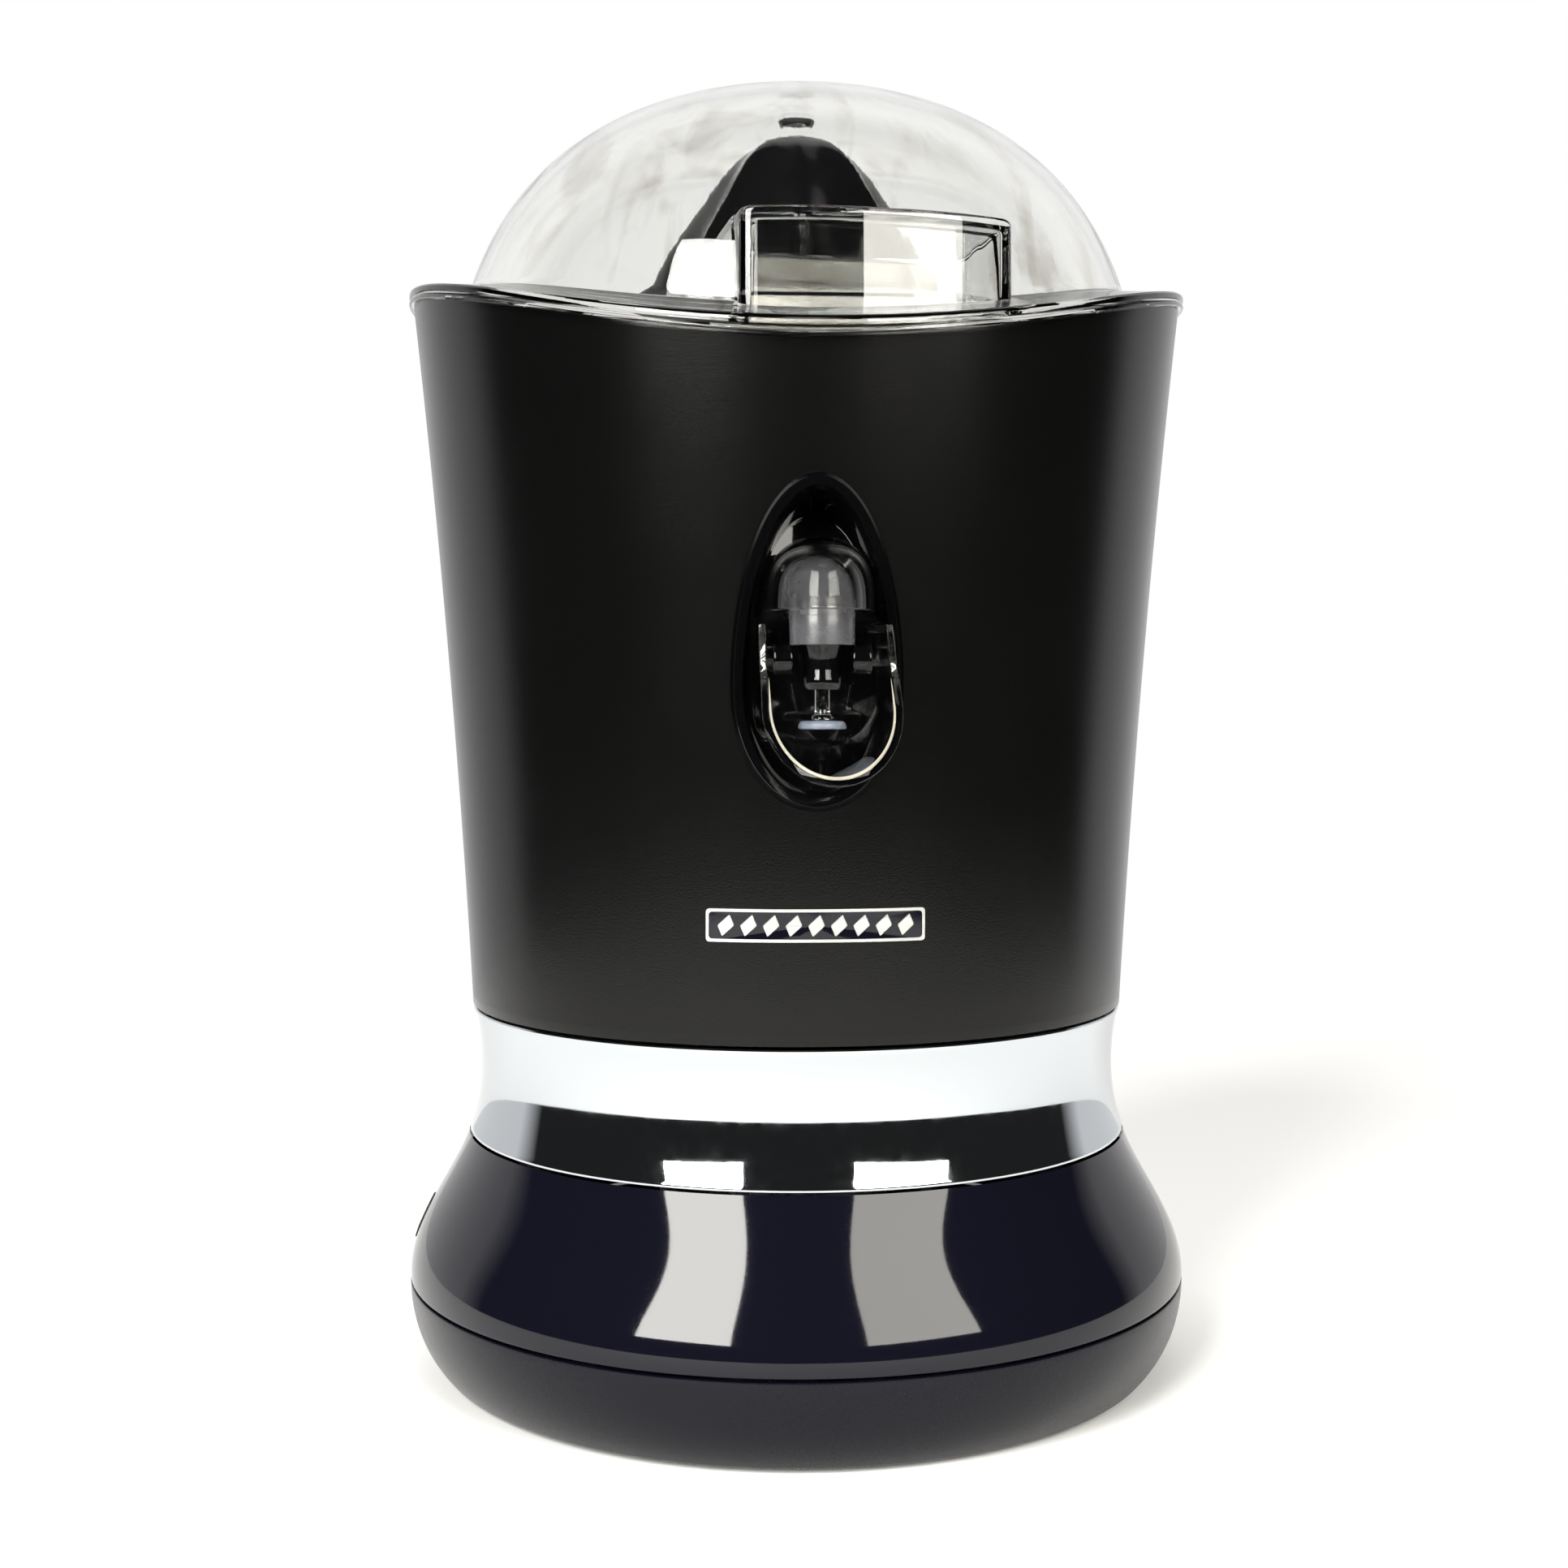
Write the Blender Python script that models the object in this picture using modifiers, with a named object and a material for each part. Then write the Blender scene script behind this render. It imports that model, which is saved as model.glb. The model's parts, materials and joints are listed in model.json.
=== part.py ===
"""Citrus press juicer: waisted body on a bell-shaped base, clear dome lid, tilting drip-stop spout.

All sizes are in metres. +Z is up, the turning axis of the motor, shaft and cone is the Z axis,
the plane of the feet is z = 0, and the spout points along -Y.
"""
import math

import bmesh
import bpy
from mathutils import Matrix, Vector

# ---- driving dimensions ----
GAP = 0.0003                 # clearance between pieces that seat on each other
TURN_STEPS = 32              # facets round the large turned shells
SMALL_STEPS = 20             # facets round small turned pieces

# base
FOOT_STAND = 0.001           # how far the feet stand proud of the base
BASE_RADIUS = 0.0835         # at the parting line between tray and cover
PARTING_Z = 0.0194
TRAY_FLOOR = 0.003
TRAY_WALL = 0.0025
COVER_WALL = 0.0024
FOOT_RADIUS = 0.0065
FOOT_RING = 0.064            # radius of the circle that the feet stand on
FOOT_RECESS = 0.0015
SCREW_RING = 0.056           # radius of the circle of the base screws
SCREW_RADIUS = 0.0015
SCREW_HEAD = 0.003           # head radius
SCREW_HEAD_THICK = 0.0012
SCREW_SINK = 0.0018          # depth of the counterbore in the tray
SCREW_TIP_Z = 0.013
SCREW_TURN = math.radians(5.6)
FOOT_TURN = math.radians(50.6)
COLUMN_RADIUS = 0.0045
GLAND_RADIUS = 0.0047
GLAND_BORE = 0.0032
GLAND_Z = 0.0297
GLAND_FROM = 0.070           # the bush's inner end, from the axis
GLAND_PROUD = 0.0004         # how far its rim stands out of the cover
GLAND_TURN = math.radians(180)

# waist ring and body
RING_BOTTOM_Z = 0.050
RING_TOP_Z = 0.077
RING_LOW_RADIUS = 0.0711
RING_WAIST_RADIUS = 0.0686
RING_WAIST_Z = 0.0636
RING_WALL = 0.002
BODY_FOOT_RADIUS = 0.0703    # body radius where it meets the ring
BODY_SLOPE = 0.05726         # growth of the body radius per metre of height
BODY_CURVE = 0.18329         # and its growth with the square of the height, per metre
BODY_WALL = 0.0024

# saddle-shaped rim: a cylinder lying along X, low at the front and back
RIM_SIDE_Z = 0.2257
RIM_DIP = 0.018
RIM_OVERHANG = 0.001
BOWL_FLANGE = 0.001
LID_FLANGE = 0.0015

# lid
DOME_RADIUS = 0.0751
DOME_HEIGHT = 0.0761
DOME_BASE_Z = 0.1967
DOME_POWER = 2.44
LID_WALL = 0.002
DORMER_TURN = math.radians(8.6)
DORMER_HALF_WIDTH = 0.025
DORMER_TOP_Z = 0.231
DORMER_RADIUS = 0.0766
DORMER_BEVEL = 0.003
BOSS_RADIUS = 0.004
BOSS_DEPTH = 0.0015

# cone, strainer and bowl
CONE_TIP_Z = 0.2664
CONE_FOOT_Z = 0.2108
CONE_RADIUS = 0.038
CONE_RIBS = 8
CONE_RIB_DEPTH = 0.10
CONE_WALL = 0.0025
CONE_HUB_RADIUS = 0.0125
PRESS_TRAVEL = 0.003
BOWL_FLOOR_Z = 0.189
BOWL_WALL = 0.002
BOWL_WELL_RADIUS = 0.066
BOWL_RIM_RADIUS = 0.0758
LEDGE_Z = 0.2016
TUBE_BORE = 0.0068
TUBE_WALL = 0.002
TUBE_TOP_Z = 0.206
STRAINER_PLATE = 0.0018
STRAINER_LIP = 0.002
STRAINER_LIP_WALL = 0.0016
SLOT_COUNT = 16
SLOT_WIDTH = 0.0026
SLOT_FROM = 0.042
SLOT_TO = 0.062
DRAIN_Y = -0.050
DRAIN_RADIUS = 0.0062
DRAIN_BORE = 0.0046
DRAIN_END_Z = 0.179
BOWL_FOOT_RADIUS = 0.060     # ring under the bowl's floor that stands on the deck
BOWL_FOOT_WALL = 0.003
WASHER_GAP = 0.0012          # between the bowl's tube and the washer round it
WASHER_WIDTH = 0.004
WASHER_THICK = 0.003

# deck under the bowl
DECK_TOP_Z = 0.187
DECK_THICK = 0.0025

# motor and gearbox
CHASSIS_TOP_Z = 0.0735
CHASSIS_THICK = 0.0025
CHASSIS_RADIUS = 0.0668
CHASSIS_BORE = 0.008
STATOR_RADIUS = 0.030
STATOR_LOW_Z = 0.029
STATOR_HIGH_Z = 0.0607
ROTOR_RADIUS = 0.015
ROTOR_SHAFT = 0.0025
ROTOR_LOW_Z = 0.0165
AIR_GAP = 0.0006
WINDING_RADIUS = 0.021
WINDING_HEIGHT = 0.006
BRACKET_THICK = 0.003
MOTOR_BOLT_X = 0.024
BOLT_RADIUS = 0.0015
GEAR_MODULE = 0.001
BIG_TEETH = 40
SMALL_TEETH = 10
IDLER_PIN = 0.0015
HUB_RADIUS = 0.0072
GEARBOX_ROOM = 0.0025        # from the gear tips to the gearbox wall
GEARBOX_WALL = 0.002
GEARBOX_TOP_Z = 0.092
PINION_LOW_Z = 0.0768
PINION_HIGH_Z = 0.0810
OUTPUT_LOW_Z = 0.0835
OUTPUT_HIGH_Z = 0.0880

# shaft, collar, spring and switch
SHAFT_RADIUS = 0.004
BUSH_RADIUS = 0.008
BUSH_FLANGE = 0.0015
HEX_RADIUS = 0.0037          # across the corners of the shaft's hexagonal ends, as a radius
HEX_GAP = 0.0004             # clearance round the hexagon, at its corners
SHAFT_LOW_Z = 0.085
SHAFT_TOP_Z = 0.224
COLLAR_Z = 0.106
COLLAR_THICK = 0.003
COLLAR_RADIUS = 0.012
SPRING_RADIUS = 0.0066
SPRING_WIRE = 0.0005
SPRING_TURNS = 4
SWITCH_X = 0.0102
SWITCH_LENGTH = 0.0142
SWITCH_BACK = 0.0022         # from the plunger's middle to the switch's near end
SWITCH_HALF_WIDTH = 0.004
PLUNGER_RADIUS = 0.0012

# spout pocket, duct and spout
POCKET_HALF_WIDTH = 0.0154
POCKET_TOP_Z = 0.1828
POCKET_LOW_Z = 0.122
POCKET_WIDE_Z = 0.144
POCKET_WALL = 0.0015
POCKET_BACK_Y = -0.060
DUCT_RADIUS = 0.0075
DUCT_WALL = 0.0018
DUCT_SIDES = 14
MOUTH_RADIUS = 0.0098
NOZZLE_Y = -0.088
NOZZLE_RADIUS = 0.0071
NOZZLE_END_Z = 0.143
NOZZLE_TIP_RADIUS = 0.0048
SPOUT_HALF_WIDTH = 0.0104
SPOUT_WALL = 0.0015
SPOUT_SLOPE = math.radians(5)
SPOUT_BACK_Y = -0.079
SPOUT_EAR = 0.006            # how far the side walls rise above the pins
SPOUT_EAR_FRONT = 0.005      # how far in front of the pins that height ends
SPOUT_CORNER_Z = 0.1455      # height of the side walls' front corners
LIP_Y = -0.125
LIP_Z = 0.129
LIP_RAKE = 0.8875            # rise of the open edge per metre behind the lip
PIN_RADIUS = 0.0013
PIN_Y = NOZZLE_Y
PIN_Z = 0.149
VALVE_DISC_RADIUS = 0.0052
VALVE_DISC_Z = 0.1366
VALVE_DISC_THICK = 0.0016
VALVE_STEM = 0.0011
VALVE_TOP_Z = 0.1517
VANE_LOW_Z = 0.148
VANE_HEIGHT = 0.002
VANE_HALF_THICK = 0.0005

# badge
BADGE_Z = 0.100
BADGE_HALF_WIDTH = 0.0208
BADGE_HALF_HEIGHT = 0.0033
BADGE_THICK = 0.0006


def body_radius(z):
    """Outer radius of the body shell at height z."""
    u = z - RING_TOP_Z
    return BODY_FOOT_RADIUS + BODY_SLOPE * u + BODY_CURVE * u * u


# ---- scene and helpers ----
for old in list(bpy.data.objects):
    bpy.data.objects.remove(old, do_unlink=True)

PARTS = bpy.data.collections.new("citrus_press_juicer")
CUTTERS = bpy.data.collections.new("cutters")
bpy.context.scene.collection.children.link(PARTS)
bpy.context.scene.collection.children.link(CUTTERS)


def finish(name, colour, roughness, metallic=0.0, clear=0.0):
    """A Principled material."""
    material = bpy.data.materials.new(name)
    material.use_nodes = True
    shader = material.node_tree.nodes["Principled BSDF"]
    shader.inputs["Base Color"].default_value = (*colour, 1.0)
    shader.inputs["Roughness"].default_value = roughness
    shader.inputs["Metallic"].default_value = metallic
    shader.inputs["Transmission Weight"].default_value = clear
    return material


SATIN_BLACK = finish("satin_black", (0.012, 0.012, 0.013), 0.42)
GLOSS_BLACK = finish("gloss_black", (0.008, 0.008, 0.011), 0.08)
CHROME = finish("chrome", (0.83, 0.84, 0.86), 0.05, metallic=1.0)
CLEAR = finish("clear_plastic", (0.93, 0.95, 0.95), 0.05, clear=1.0)
WHITE_PLASTIC = finish("white_plastic", (0.78, 0.80, 0.82), 0.35)
GREY_PLASTIC = finish("grey_plastic", (0.25, 0.26, 0.27), 0.45)
RUBBER = finish("rubber", (0.02, 0.02, 0.02), 0.8)
STEEL = finish("steel", (0.60, 0.60, 0.58), 0.3, metallic=1.0)
COPPER = finish("winding_copper", (0.55, 0.25, 0.10), 0.4, metallic=1.0)
SILVER = finish("badge_silver", (0.75, 0.75, 0.76), 0.3, metallic=1.0)


def place(name, mesh, material):
    """Put a mesh in the scene: as a part if it has a material, otherwise as a cutter."""
    obj = bpy.data.objects.new(name, mesh)
    if material is None:
        CUTTERS.objects.link(obj)
        obj.hide_render = True
        obj.display_type = "WIRE"
    else:
        PARTS.objects.link(obj)
        mesh.materials.append(material)
    return obj


def place_bmesh(name, bm, material):
    """Turn a bmesh into an object, smooth on its gentle edges."""
    bmesh.ops.recalc_face_normals(bm, faces=bm.faces)
    mesh = bpy.data.meshes.new(name)
    bm.to_mesh(mesh)
    bm.free()
    mesh.shade_smooth()
    mesh.set_sharp_from_angle(angle=math.radians(35))
    return place(name, mesh, material)


def turned(name, points, material=None, steps=TURN_STEPS):
    """A profile of (radius, z) points turned about Z. It is a ring where it starts off the axis."""
    count = len(points)
    edges = [(i, i + 1) for i in range(count - 1)]
    if points[0][0] > 0:
        edges.append((count - 1, 0))
    mesh = bpy.data.meshes.new(name)
    mesh.from_pydata([(r, 0.0, z) for r, z in points], edges, [])
    obj = place(name, mesh, material)
    screw = obj.modifiers.new("turn", "SCREW")
    screw.angle = math.tau
    screw.steps = steps
    screw.render_steps = steps
    screw.use_merge_vertices = True
    screw.merge_threshold = 0.00001
    return obj


def ring(name, inner, outer, low, high, material=None, steps=SMALL_STEPS):
    """A plain turned ring."""
    return turned(name, [(outer, high), (outer, low), (inner, low), (inner, high)], material, steps)


def disc(name, radius, low, high, material=None, steps=SMALL_STEPS):
    """A plain turned disc on the axis."""
    return turned(name, [(0, high), (radius, high), (radius, low), (0, low)], material, steps)


def box(name, low, high, material=None, turn=0.0):
    """A box between two corners, turned about the Z axis."""
    bm = bmesh.new()
    bmesh.ops.create_cube(bm, size=1.0)
    low = Vector(low)
    span = Vector(high) - low
    for vert in bm.verts:
        vert.co = Vector(low[i] + (vert.co[i] + 0.5) * span[i] for i in range(3))
    bmesh.ops.rotate(bm, cent=(0, 0, 0), matrix=Matrix.Rotation(turn, 3, "Z"), verts=bm.verts)
    return place_bmesh(name, bm, material)


def rod(name, start, end, radius, material=None, sides=16):
    """A cylinder from one point to another."""
    start = Vector(start)
    along = Vector(end) - start
    bm = bmesh.new()
    bmesh.ops.create_cone(
        bm, cap_ends=True, segments=sides, radius1=radius, radius2=radius, depth=along.length
    )
    turn = along.to_track_quat("Z", "Y").to_matrix().to_4x4()
    bmesh.ops.transform(bm, matrix=Matrix.Translation(start + along / 2) @ turn, verts=bm.verts)
    return place_bmesh(name, bm, material)


def prism(name, outline, low, high, material=None, matrix=None):
    """A flat outline of (x, y) points, extruded from low to high along Z, then moved by a matrix."""
    bm = bmesh.new()
    face = bm.faces.new([bm.verts.new((x, y, low)) for x, y in outline])
    grown = bmesh.ops.extrude_face_region(bm, geom=[face])
    raised = [item for item in grown["geom"] if isinstance(item, bmesh.types.BMVert)]
    bmesh.ops.translate(bm, vec=(0, 0, high - low), verts=raised)
    if matrix:
        bmesh.ops.transform(bm, matrix=matrix, verts=bm.verts)
    return place_bmesh(name, bm, material)


def boolean(obj, tool, operation="DIFFERENCE"):
    """Cut, join or intersect a part with a tool."""
    modifier = obj.modifiers.new(tool.name, "BOOLEAN")
    modifier.operation = operation
    modifier.object = tool
    return obj


def round_points(radius, sides, centre=(0.0, 0.0), phase=0.0):
    """Points of a regular polygon."""
    angles = [phase + math.tau * i / sides for i in range(sides)]
    return [(centre[0] + radius * math.cos(a), centre[1] + radius * math.sin(a)) for a in angles]


def bezier(p0, p1, p2, p3, count):
    """Points along a cubic curve, both ends included."""
    points = []
    for i in range(count):
        t = i / (count - 1)
        s = 1 - t
        weights = (s ** 3, 3 * s * s * t, 3 * s * t * t, t ** 3)
        points.append(tuple(sum(w * p[k] for w, p in zip(weights, (p0, p1, p2, p3))) for k in (0, 1)))
    return points


def on_ring(radius, count, phase):
    """Centres of pieces spaced round the axis."""
    return round_points(radius, count, phase=phase)


def moved(points, radial, height=0.0):
    """A profile moved sideways and up."""
    return [(r + radial, z + height) for r, z in points]


# ---- saddle rim tools ----
SADDLE_RADIUS = (body_radius(RIM_SIDE_Z) ** 2 + RIM_DIP ** 2) / (2 * RIM_DIP)
SADDLE_CENTRE_Z = RIM_SIDE_Z - SADDLE_RADIUS
YZ_PLANE = Matrix(((0, 0, 1, 0), (1, 0, 0, 0), (0, 1, 0, 0), (0, 0, 0, 1)))


def saddle_prism(name, offset, far_z):
    """Everything from the saddle surface, raised by offset, to the height far_z."""
    radius = SADDLE_RADIUS + offset
    reach = math.asin(0.1 / radius)
    steps = 20
    angles = [reach * (2 * i / steps - 1) for i in range(steps + 1)]
    outline = [(radius * math.sin(a), SADDLE_CENTRE_Z + radius * math.cos(a)) for a in angles]
    outline += [(outline[-1][0], far_z), (outline[0][0], far_z)]
    return prism(name, outline, -0.1, 0.1, matrix=YZ_PLANE)


SKY_Z = 0.30                 # above the whole juicer
GROUND_Z = 0.15              # below every part that the saddle cuts
FLANGE_RADIUS = body_radius(RIM_SIDE_Z) + RIM_OVERHANG


# ---- base ----
def make_tray():
    """Dished tray that closes the base from below, with recesses for feet and screws."""
    outer = bezier(
        (BASE_RADIUS, PARTING_Z - GAP / 2), (BASE_RADIUS, 0.0132), (0.0817, 0.006),
        (0.0763, FOOT_STAND), 5,
    )
    floor_z = FOOT_STAND + TRAY_FLOOR
    inner_radius = BASE_RADIUS - TRAY_WALL
    inside = [(0, floor_z), (0.073, floor_z), (inner_radius - 0.001, 0.011), (inner_radius, outer[0][1])]
    tray = turned("base_tray", inside + outer + [(0, FOOT_STAND)], SATIN_BLACK)
    for i, (x, y) in enumerate(on_ring(FOOT_RING, 4, FOOT_TURN)):
        low = (x, y, 0)
        high = (x, y, FOOT_STAND + FOOT_RECESS)
        boolean(tray, rod(f"foot_recess_{i}", low, high, FOOT_RADIUS + GAP))
    for i, (x, y) in enumerate(on_ring(SCREW_RING, 4, SCREW_TURN)):
        hole = rod(f"screw_hole_{i}", (x, y, 0), (x, y, floor_z + 0.001), SCREW_RADIUS + GAP, sides=12)
        bore = rod(f"screw_bore_{i}", (x, y, 0), (x, y, FOOT_STAND + SCREW_SINK), SCREW_HEAD + GAP, sides=12)
        boolean(boolean(tray, hole), bore)


def make_feet():
    """Four rubber feet pressed into the tray's recesses."""
    top = FOOT_STAND + FOOT_RECESS - GAP
    for i, (x, y) in enumerate(on_ring(FOOT_RING, 4, FOOT_TURN)):
        rod(f"foot_{i + 1}", (x, y, 0), (x, y, top), FOOT_RADIUS, RUBBER)


def make_screws():
    """Four screws from below the tray into the chassis columns."""
    seat = FOOT_STAND + SCREW_SINK - GAP
    face = seat - SCREW_HEAD_THICK
    profile = [
        (0, SCREW_TIP_Z), (SCREW_RADIUS, SCREW_TIP_Z), (SCREW_RADIUS, seat),
        (SCREW_HEAD, seat), (SCREW_HEAD, face), (0, face),
    ]
    for i, (x, y) in enumerate(on_ring(SCREW_RING, 4, SCREW_TURN)):
        screw = turned(f"base_screw_{i + 1}", profile, STEEL, 12)
        screw.location = (x, y, 0)


def cover_profile():
    """Outer line of the bell, from the ring down to the parting line."""
    top_z = RING_BOTTOM_Z - GAP / 2
    return bezier(
        (RING_LOW_RADIUS, top_z), (0.0744, 0.0397), (BASE_RADIUS, 0.0305),
        (BASE_RADIUS, PARTING_Z + GAP / 2), 5,
    )


def make_cover():
    """Glossy bell between the tray and the waist ring, with a hole for the cord gland."""
    outer = cover_profile()
    inner = moved(outer, -COVER_WALL)
    inner[0] = (inner[0][0], outer[0][1])
    cover = turned("base_cover", outer + inner[::-1], GLOSS_BLACK)
    hole = gland_rod("gland_hole", GLAND_FROM - 0.01, BASE_RADIUS + 0.01, GLAND_RADIUS + GAP)
    boolean(cover, hole)


def gland_rod(name, start, end, radius, material=None):
    """A cylinder along the gland's own line."""
    aim = Vector((math.cos(GLAND_TURN), math.sin(GLAND_TURN), 0))
    lift = Vector((0, 0, GLAND_Z))
    return rod(name, aim * start + lift, aim * end + lift, radius, material)


def make_gland():
    """Bush that the mains lead would leave by, low on the left, its face following the cover."""
    gland = gland_rod("cord_gland", GLAND_FROM, BASE_RADIUS + 0.01, GLAND_RADIUS, RUBBER)
    outer = moved(cover_profile(), GLAND_PROUD)
    skin = turned("gland_skin", [(0, outer[0][1])] + outer + [(0, outer[-1][1])])
    boolean(gland, skin, "INTERSECT")
    boolean(gland, gland_rod("gland_bore", GLAND_FROM - 0.01, BASE_RADIUS + 0.02, GLAND_BORE))


def make_waist_ring():
    """Bright plated ring round the waist, between the cover and the body."""
    low = RING_BOTTOM_Z + GAP / 2
    high = RING_TOP_Z - GAP / 2
    outer = bezier(
        (BODY_FOOT_RADIUS, high), (RING_WAIST_RADIUS - 0.0004, 0.0687),
        (RING_WAIST_RADIUS - 0.0007, 0.0585), (RING_LOW_RADIUS, low), 5,
    )
    inner = [(r - RING_WALL, z) for r, z in outer[::-1]]
    turned("waist_ring", outer + inner, CHROME)


# ---- body ----
def body_line(offset=0.0, top=0.236, low=None, count=5):
    """Body outline from top to bottom, moved inwards or outwards."""
    low = RING_TOP_Z + GAP / 2 if low is None else low
    heights = [top + (low - top) * i / (count - 1) for i in range(count)]
    return [(body_radius(z) + offset, z) for z in heights]


def egg(grow=0.0, count=28):
    """Outline (x, z) of the spout pocket: tall above its widest place and short below it."""
    points = []
    for i in range(count):
        angle = math.tau * i / count
        tall = POCKET_TOP_Z - POCKET_WIDE_Z if math.sin(angle) > 0 else POCKET_WIDE_Z - POCKET_LOW_Z
        x = (POCKET_HALF_WIDTH + grow) * math.cos(angle)
        points.append((x, POCKET_WIDE_Z + (tall + grow) * math.sin(angle)))
    return points


XZ_PLANE = Matrix(((1, 0, 0, 0), (0, 0, -1, 0), (0, 1, 0, 0), (0, 0, 0, 1)))


def egg_prism(name, grow, back_y, front_y, material=None):
    """The pocket outline carried along Y."""
    return prism(name, egg(grow), -back_y, -front_y, material, XZ_PLANE)


def make_body_shell():
    """Satin body: a flared tube with a saddle-shaped rim and the opening for the spout pocket."""
    shell = turned("body_shell", body_line() + body_line(-BODY_WALL)[::-1], SATIN_BLACK)
    boolean(shell, saddle_prism("rim_cut", 0.0, SKY_Z))
    boolean(shell, egg_prism("pocket_cut", GAP, -0.055, -0.10))


def make_pocket():
    """Glossy cup that lines the opening behind the spout."""
    pocket = egg_prism("spout_pocket", 0.0, POCKET_BACK_Y, -0.09, GLOSS_BLACK)
    boolean(pocket, egg_prism("pocket_room", -POCKET_WALL, POCKET_BACK_Y - POCKET_WALL, -0.095))
    skin = turned("pocket_skin", [(0, 0.2)] + body_line(-GAP, 0.2, 0.1, 5) + [(0, 0.1)])
    boolean(pocket, skin, "INTERSECT")
    room = [(x, y) for x, y in round_points(DUCT_RADIUS + 0.0015, 16, (0.0, duct_z(POCKET_BACK_Y)))]
    boolean(pocket, prism("duct_way", room, 0.055, 0.065, matrix=XZ_PLANE))


def make_badge():
    """Plain silver plate that follows the body."""
    badge = box(
        "badge", (-BADGE_HALF_WIDTH, -0.08, BADGE_Z - BADGE_HALF_HEIGHT),
        (BADGE_HALF_WIDTH, -0.06, BADGE_Z + BADGE_HALF_HEIGHT), SILVER,
    )
    low = BADGE_Z - 0.01
    high = BADGE_Z + 0.01
    outer = body_line(GAP + BADGE_THICK, high, low, 3)
    inner = body_line(GAP, high, low, 3)
    boolean(badge, turned("badge_skin", outer + inner[::-1], steps=TURN_STEPS), "INTERSECT")


def make_deck():
    """Partition in the body that carries the bowl and guides the shaft."""
    low = DECK_TOP_Z - DECK_THICK
    edge = body_radius(low) - BODY_WALL - GAP
    deck = turned(
        "body_deck",
        [(edge, DECK_TOP_Z), (edge, low), (BUSH_RADIUS + GAP, low), (BUSH_RADIUS + GAP, DECK_TOP_Z)],
        GREY_PLASTIC,
    )
    hole = rod(
        "drain_way", (0, DRAIN_Y, low - 0.01), (0, DRAIN_Y, DECK_TOP_Z + 0.01), DRAIN_RADIUS + 0.001
    )
    boolean(deck, hole)


def make_shaft_bush():
    """Flanged bush in the deck round the shaft."""
    top = DECK_TOP_Z + 0.0008
    seat = DECK_TOP_Z - DECK_THICK - GAP
    low = seat - BUSH_FLANGE
    bore = SHAFT_RADIUS + GAP
    flange = BUSH_RADIUS + 0.002
    turned(
        "shaft_bush",
        [(BUSH_RADIUS, top), (BUSH_RADIUS, seat), (flange, seat), (flange, low), (bore, low), (bore, top)],
        WHITE_PLASTIC, SMALL_STEPS,
    )


# ---- chassis, motor and gearbox ----
def make_chassis():
    """Round deck on four columns that carries the motor below it and the gearbox above it."""
    low = CHASSIS_TOP_Z - CHASSIS_THICK
    chassis = ring(
        "chassis", CHASSIS_BORE, CHASSIS_RADIUS, low, CHASSIS_TOP_Z, GREY_PLASTIC, TURN_STEPS
    )
    foot = FOOT_STAND + TRAY_FLOOR + GAP
    for i, (x, y) in enumerate(on_ring(SCREW_RING, 4, SCREW_TURN)):
        column = rod(f"column_{i}", (x, y, foot), (x, y, low + 0.001), COLUMN_RADIUS, sides=12)
        boolean(chassis, column, "UNION")
        tip = (x, y, SCREW_TIP_Z + 0.001)
        hole = rod(f"column_hole_{i}", (x, y, 0), tip, SCREW_RADIUS + GAP, sides=12)
        boolean(chassis, hole)


def make_motor():
    """Stator stack with its windings, held between two brackets by two long bolts."""
    bore = ROTOR_RADIUS + AIR_GAP
    ring("motor_stator", bore, STATOR_RADIUS, STATOR_LOW_Z, STATOR_HIGH_Z, STEEL, 24)
    low_z = STATOR_LOW_Z - GAP - WINDING_HEIGHT
    high_z = STATOR_HIGH_Z + GAP
    ring("lower_winding", bore + 0.001, WINDING_RADIUS, low_z, low_z + WINDING_HEIGHT, COPPER)
    ring("upper_winding", bore + 0.001, WINDING_RADIUS, high_z, high_z + WINDING_HEIGHT, COPPER)
    lower = low_z - GAP - BRACKET_THICK
    upper = high_z + WINDING_HEIGHT + GAP
    for name, z in (("motor_lower_bracket", lower), ("motor_upper_bracket", upper)):
        ring(name, ROTOR_SHAFT + GAP, STATOR_RADIUS - 0.001, z, z + BRACKET_THICK, STEEL, 24)
    for i, x in enumerate((-MOTOR_BOLT_X, MOTOR_BOLT_X)):
        way = rod(f"bolt_way_{i}", (x, 0, 0.01), (x, 0, 0.072), BOLT_RADIUS + GAP, sides=12)
        for name in ("motor_stator", "motor_lower_bracket", "motor_upper_bracket"):
            boolean(bpy.data.objects[name], way)
        rod(f"motor_bolt_{i + 1}", (x, 0, lower - 0.001), (x, 0, upper + BRACKET_THICK - GAP),
            BOLT_RADIUS, STEEL, 12)


def gear_outline(teeth, toothed_towards, centre=(0.0, 0.0)):
    """Straight-flanked teeth with running room, one of them centred on the given direction."""
    pitch_radius = GEAR_MODULE * teeth / 2
    root = pitch_radius - 1.2 * GEAR_MODULE
    tip = pitch_radius + 0.8 * GEAR_MODULE
    step = math.tau / teeth
    root_half = 0.27 * step
    tip_half = 0.11 * step
    points = []
    for i in range(teeth):
        mid = toothed_towards + i * step
        for radius, offset in ((root, -root_half), (tip, -tip_half), (tip, tip_half), (root, root_half)):
            angle = mid + offset
            points.append((centre[0] + radius * math.cos(angle), centre[1] + radius * math.sin(angle)))
    return points


IDLER_Y = GEAR_MODULE * (BIG_TEETH + SMALL_TEETH) / 2
TO_IDLER = math.pi / 2
TO_AXIS = -math.pi / 2


def hexagon(radius):
    """Hexagon outline round the axis."""
    return round_points(radius, 6)


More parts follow.
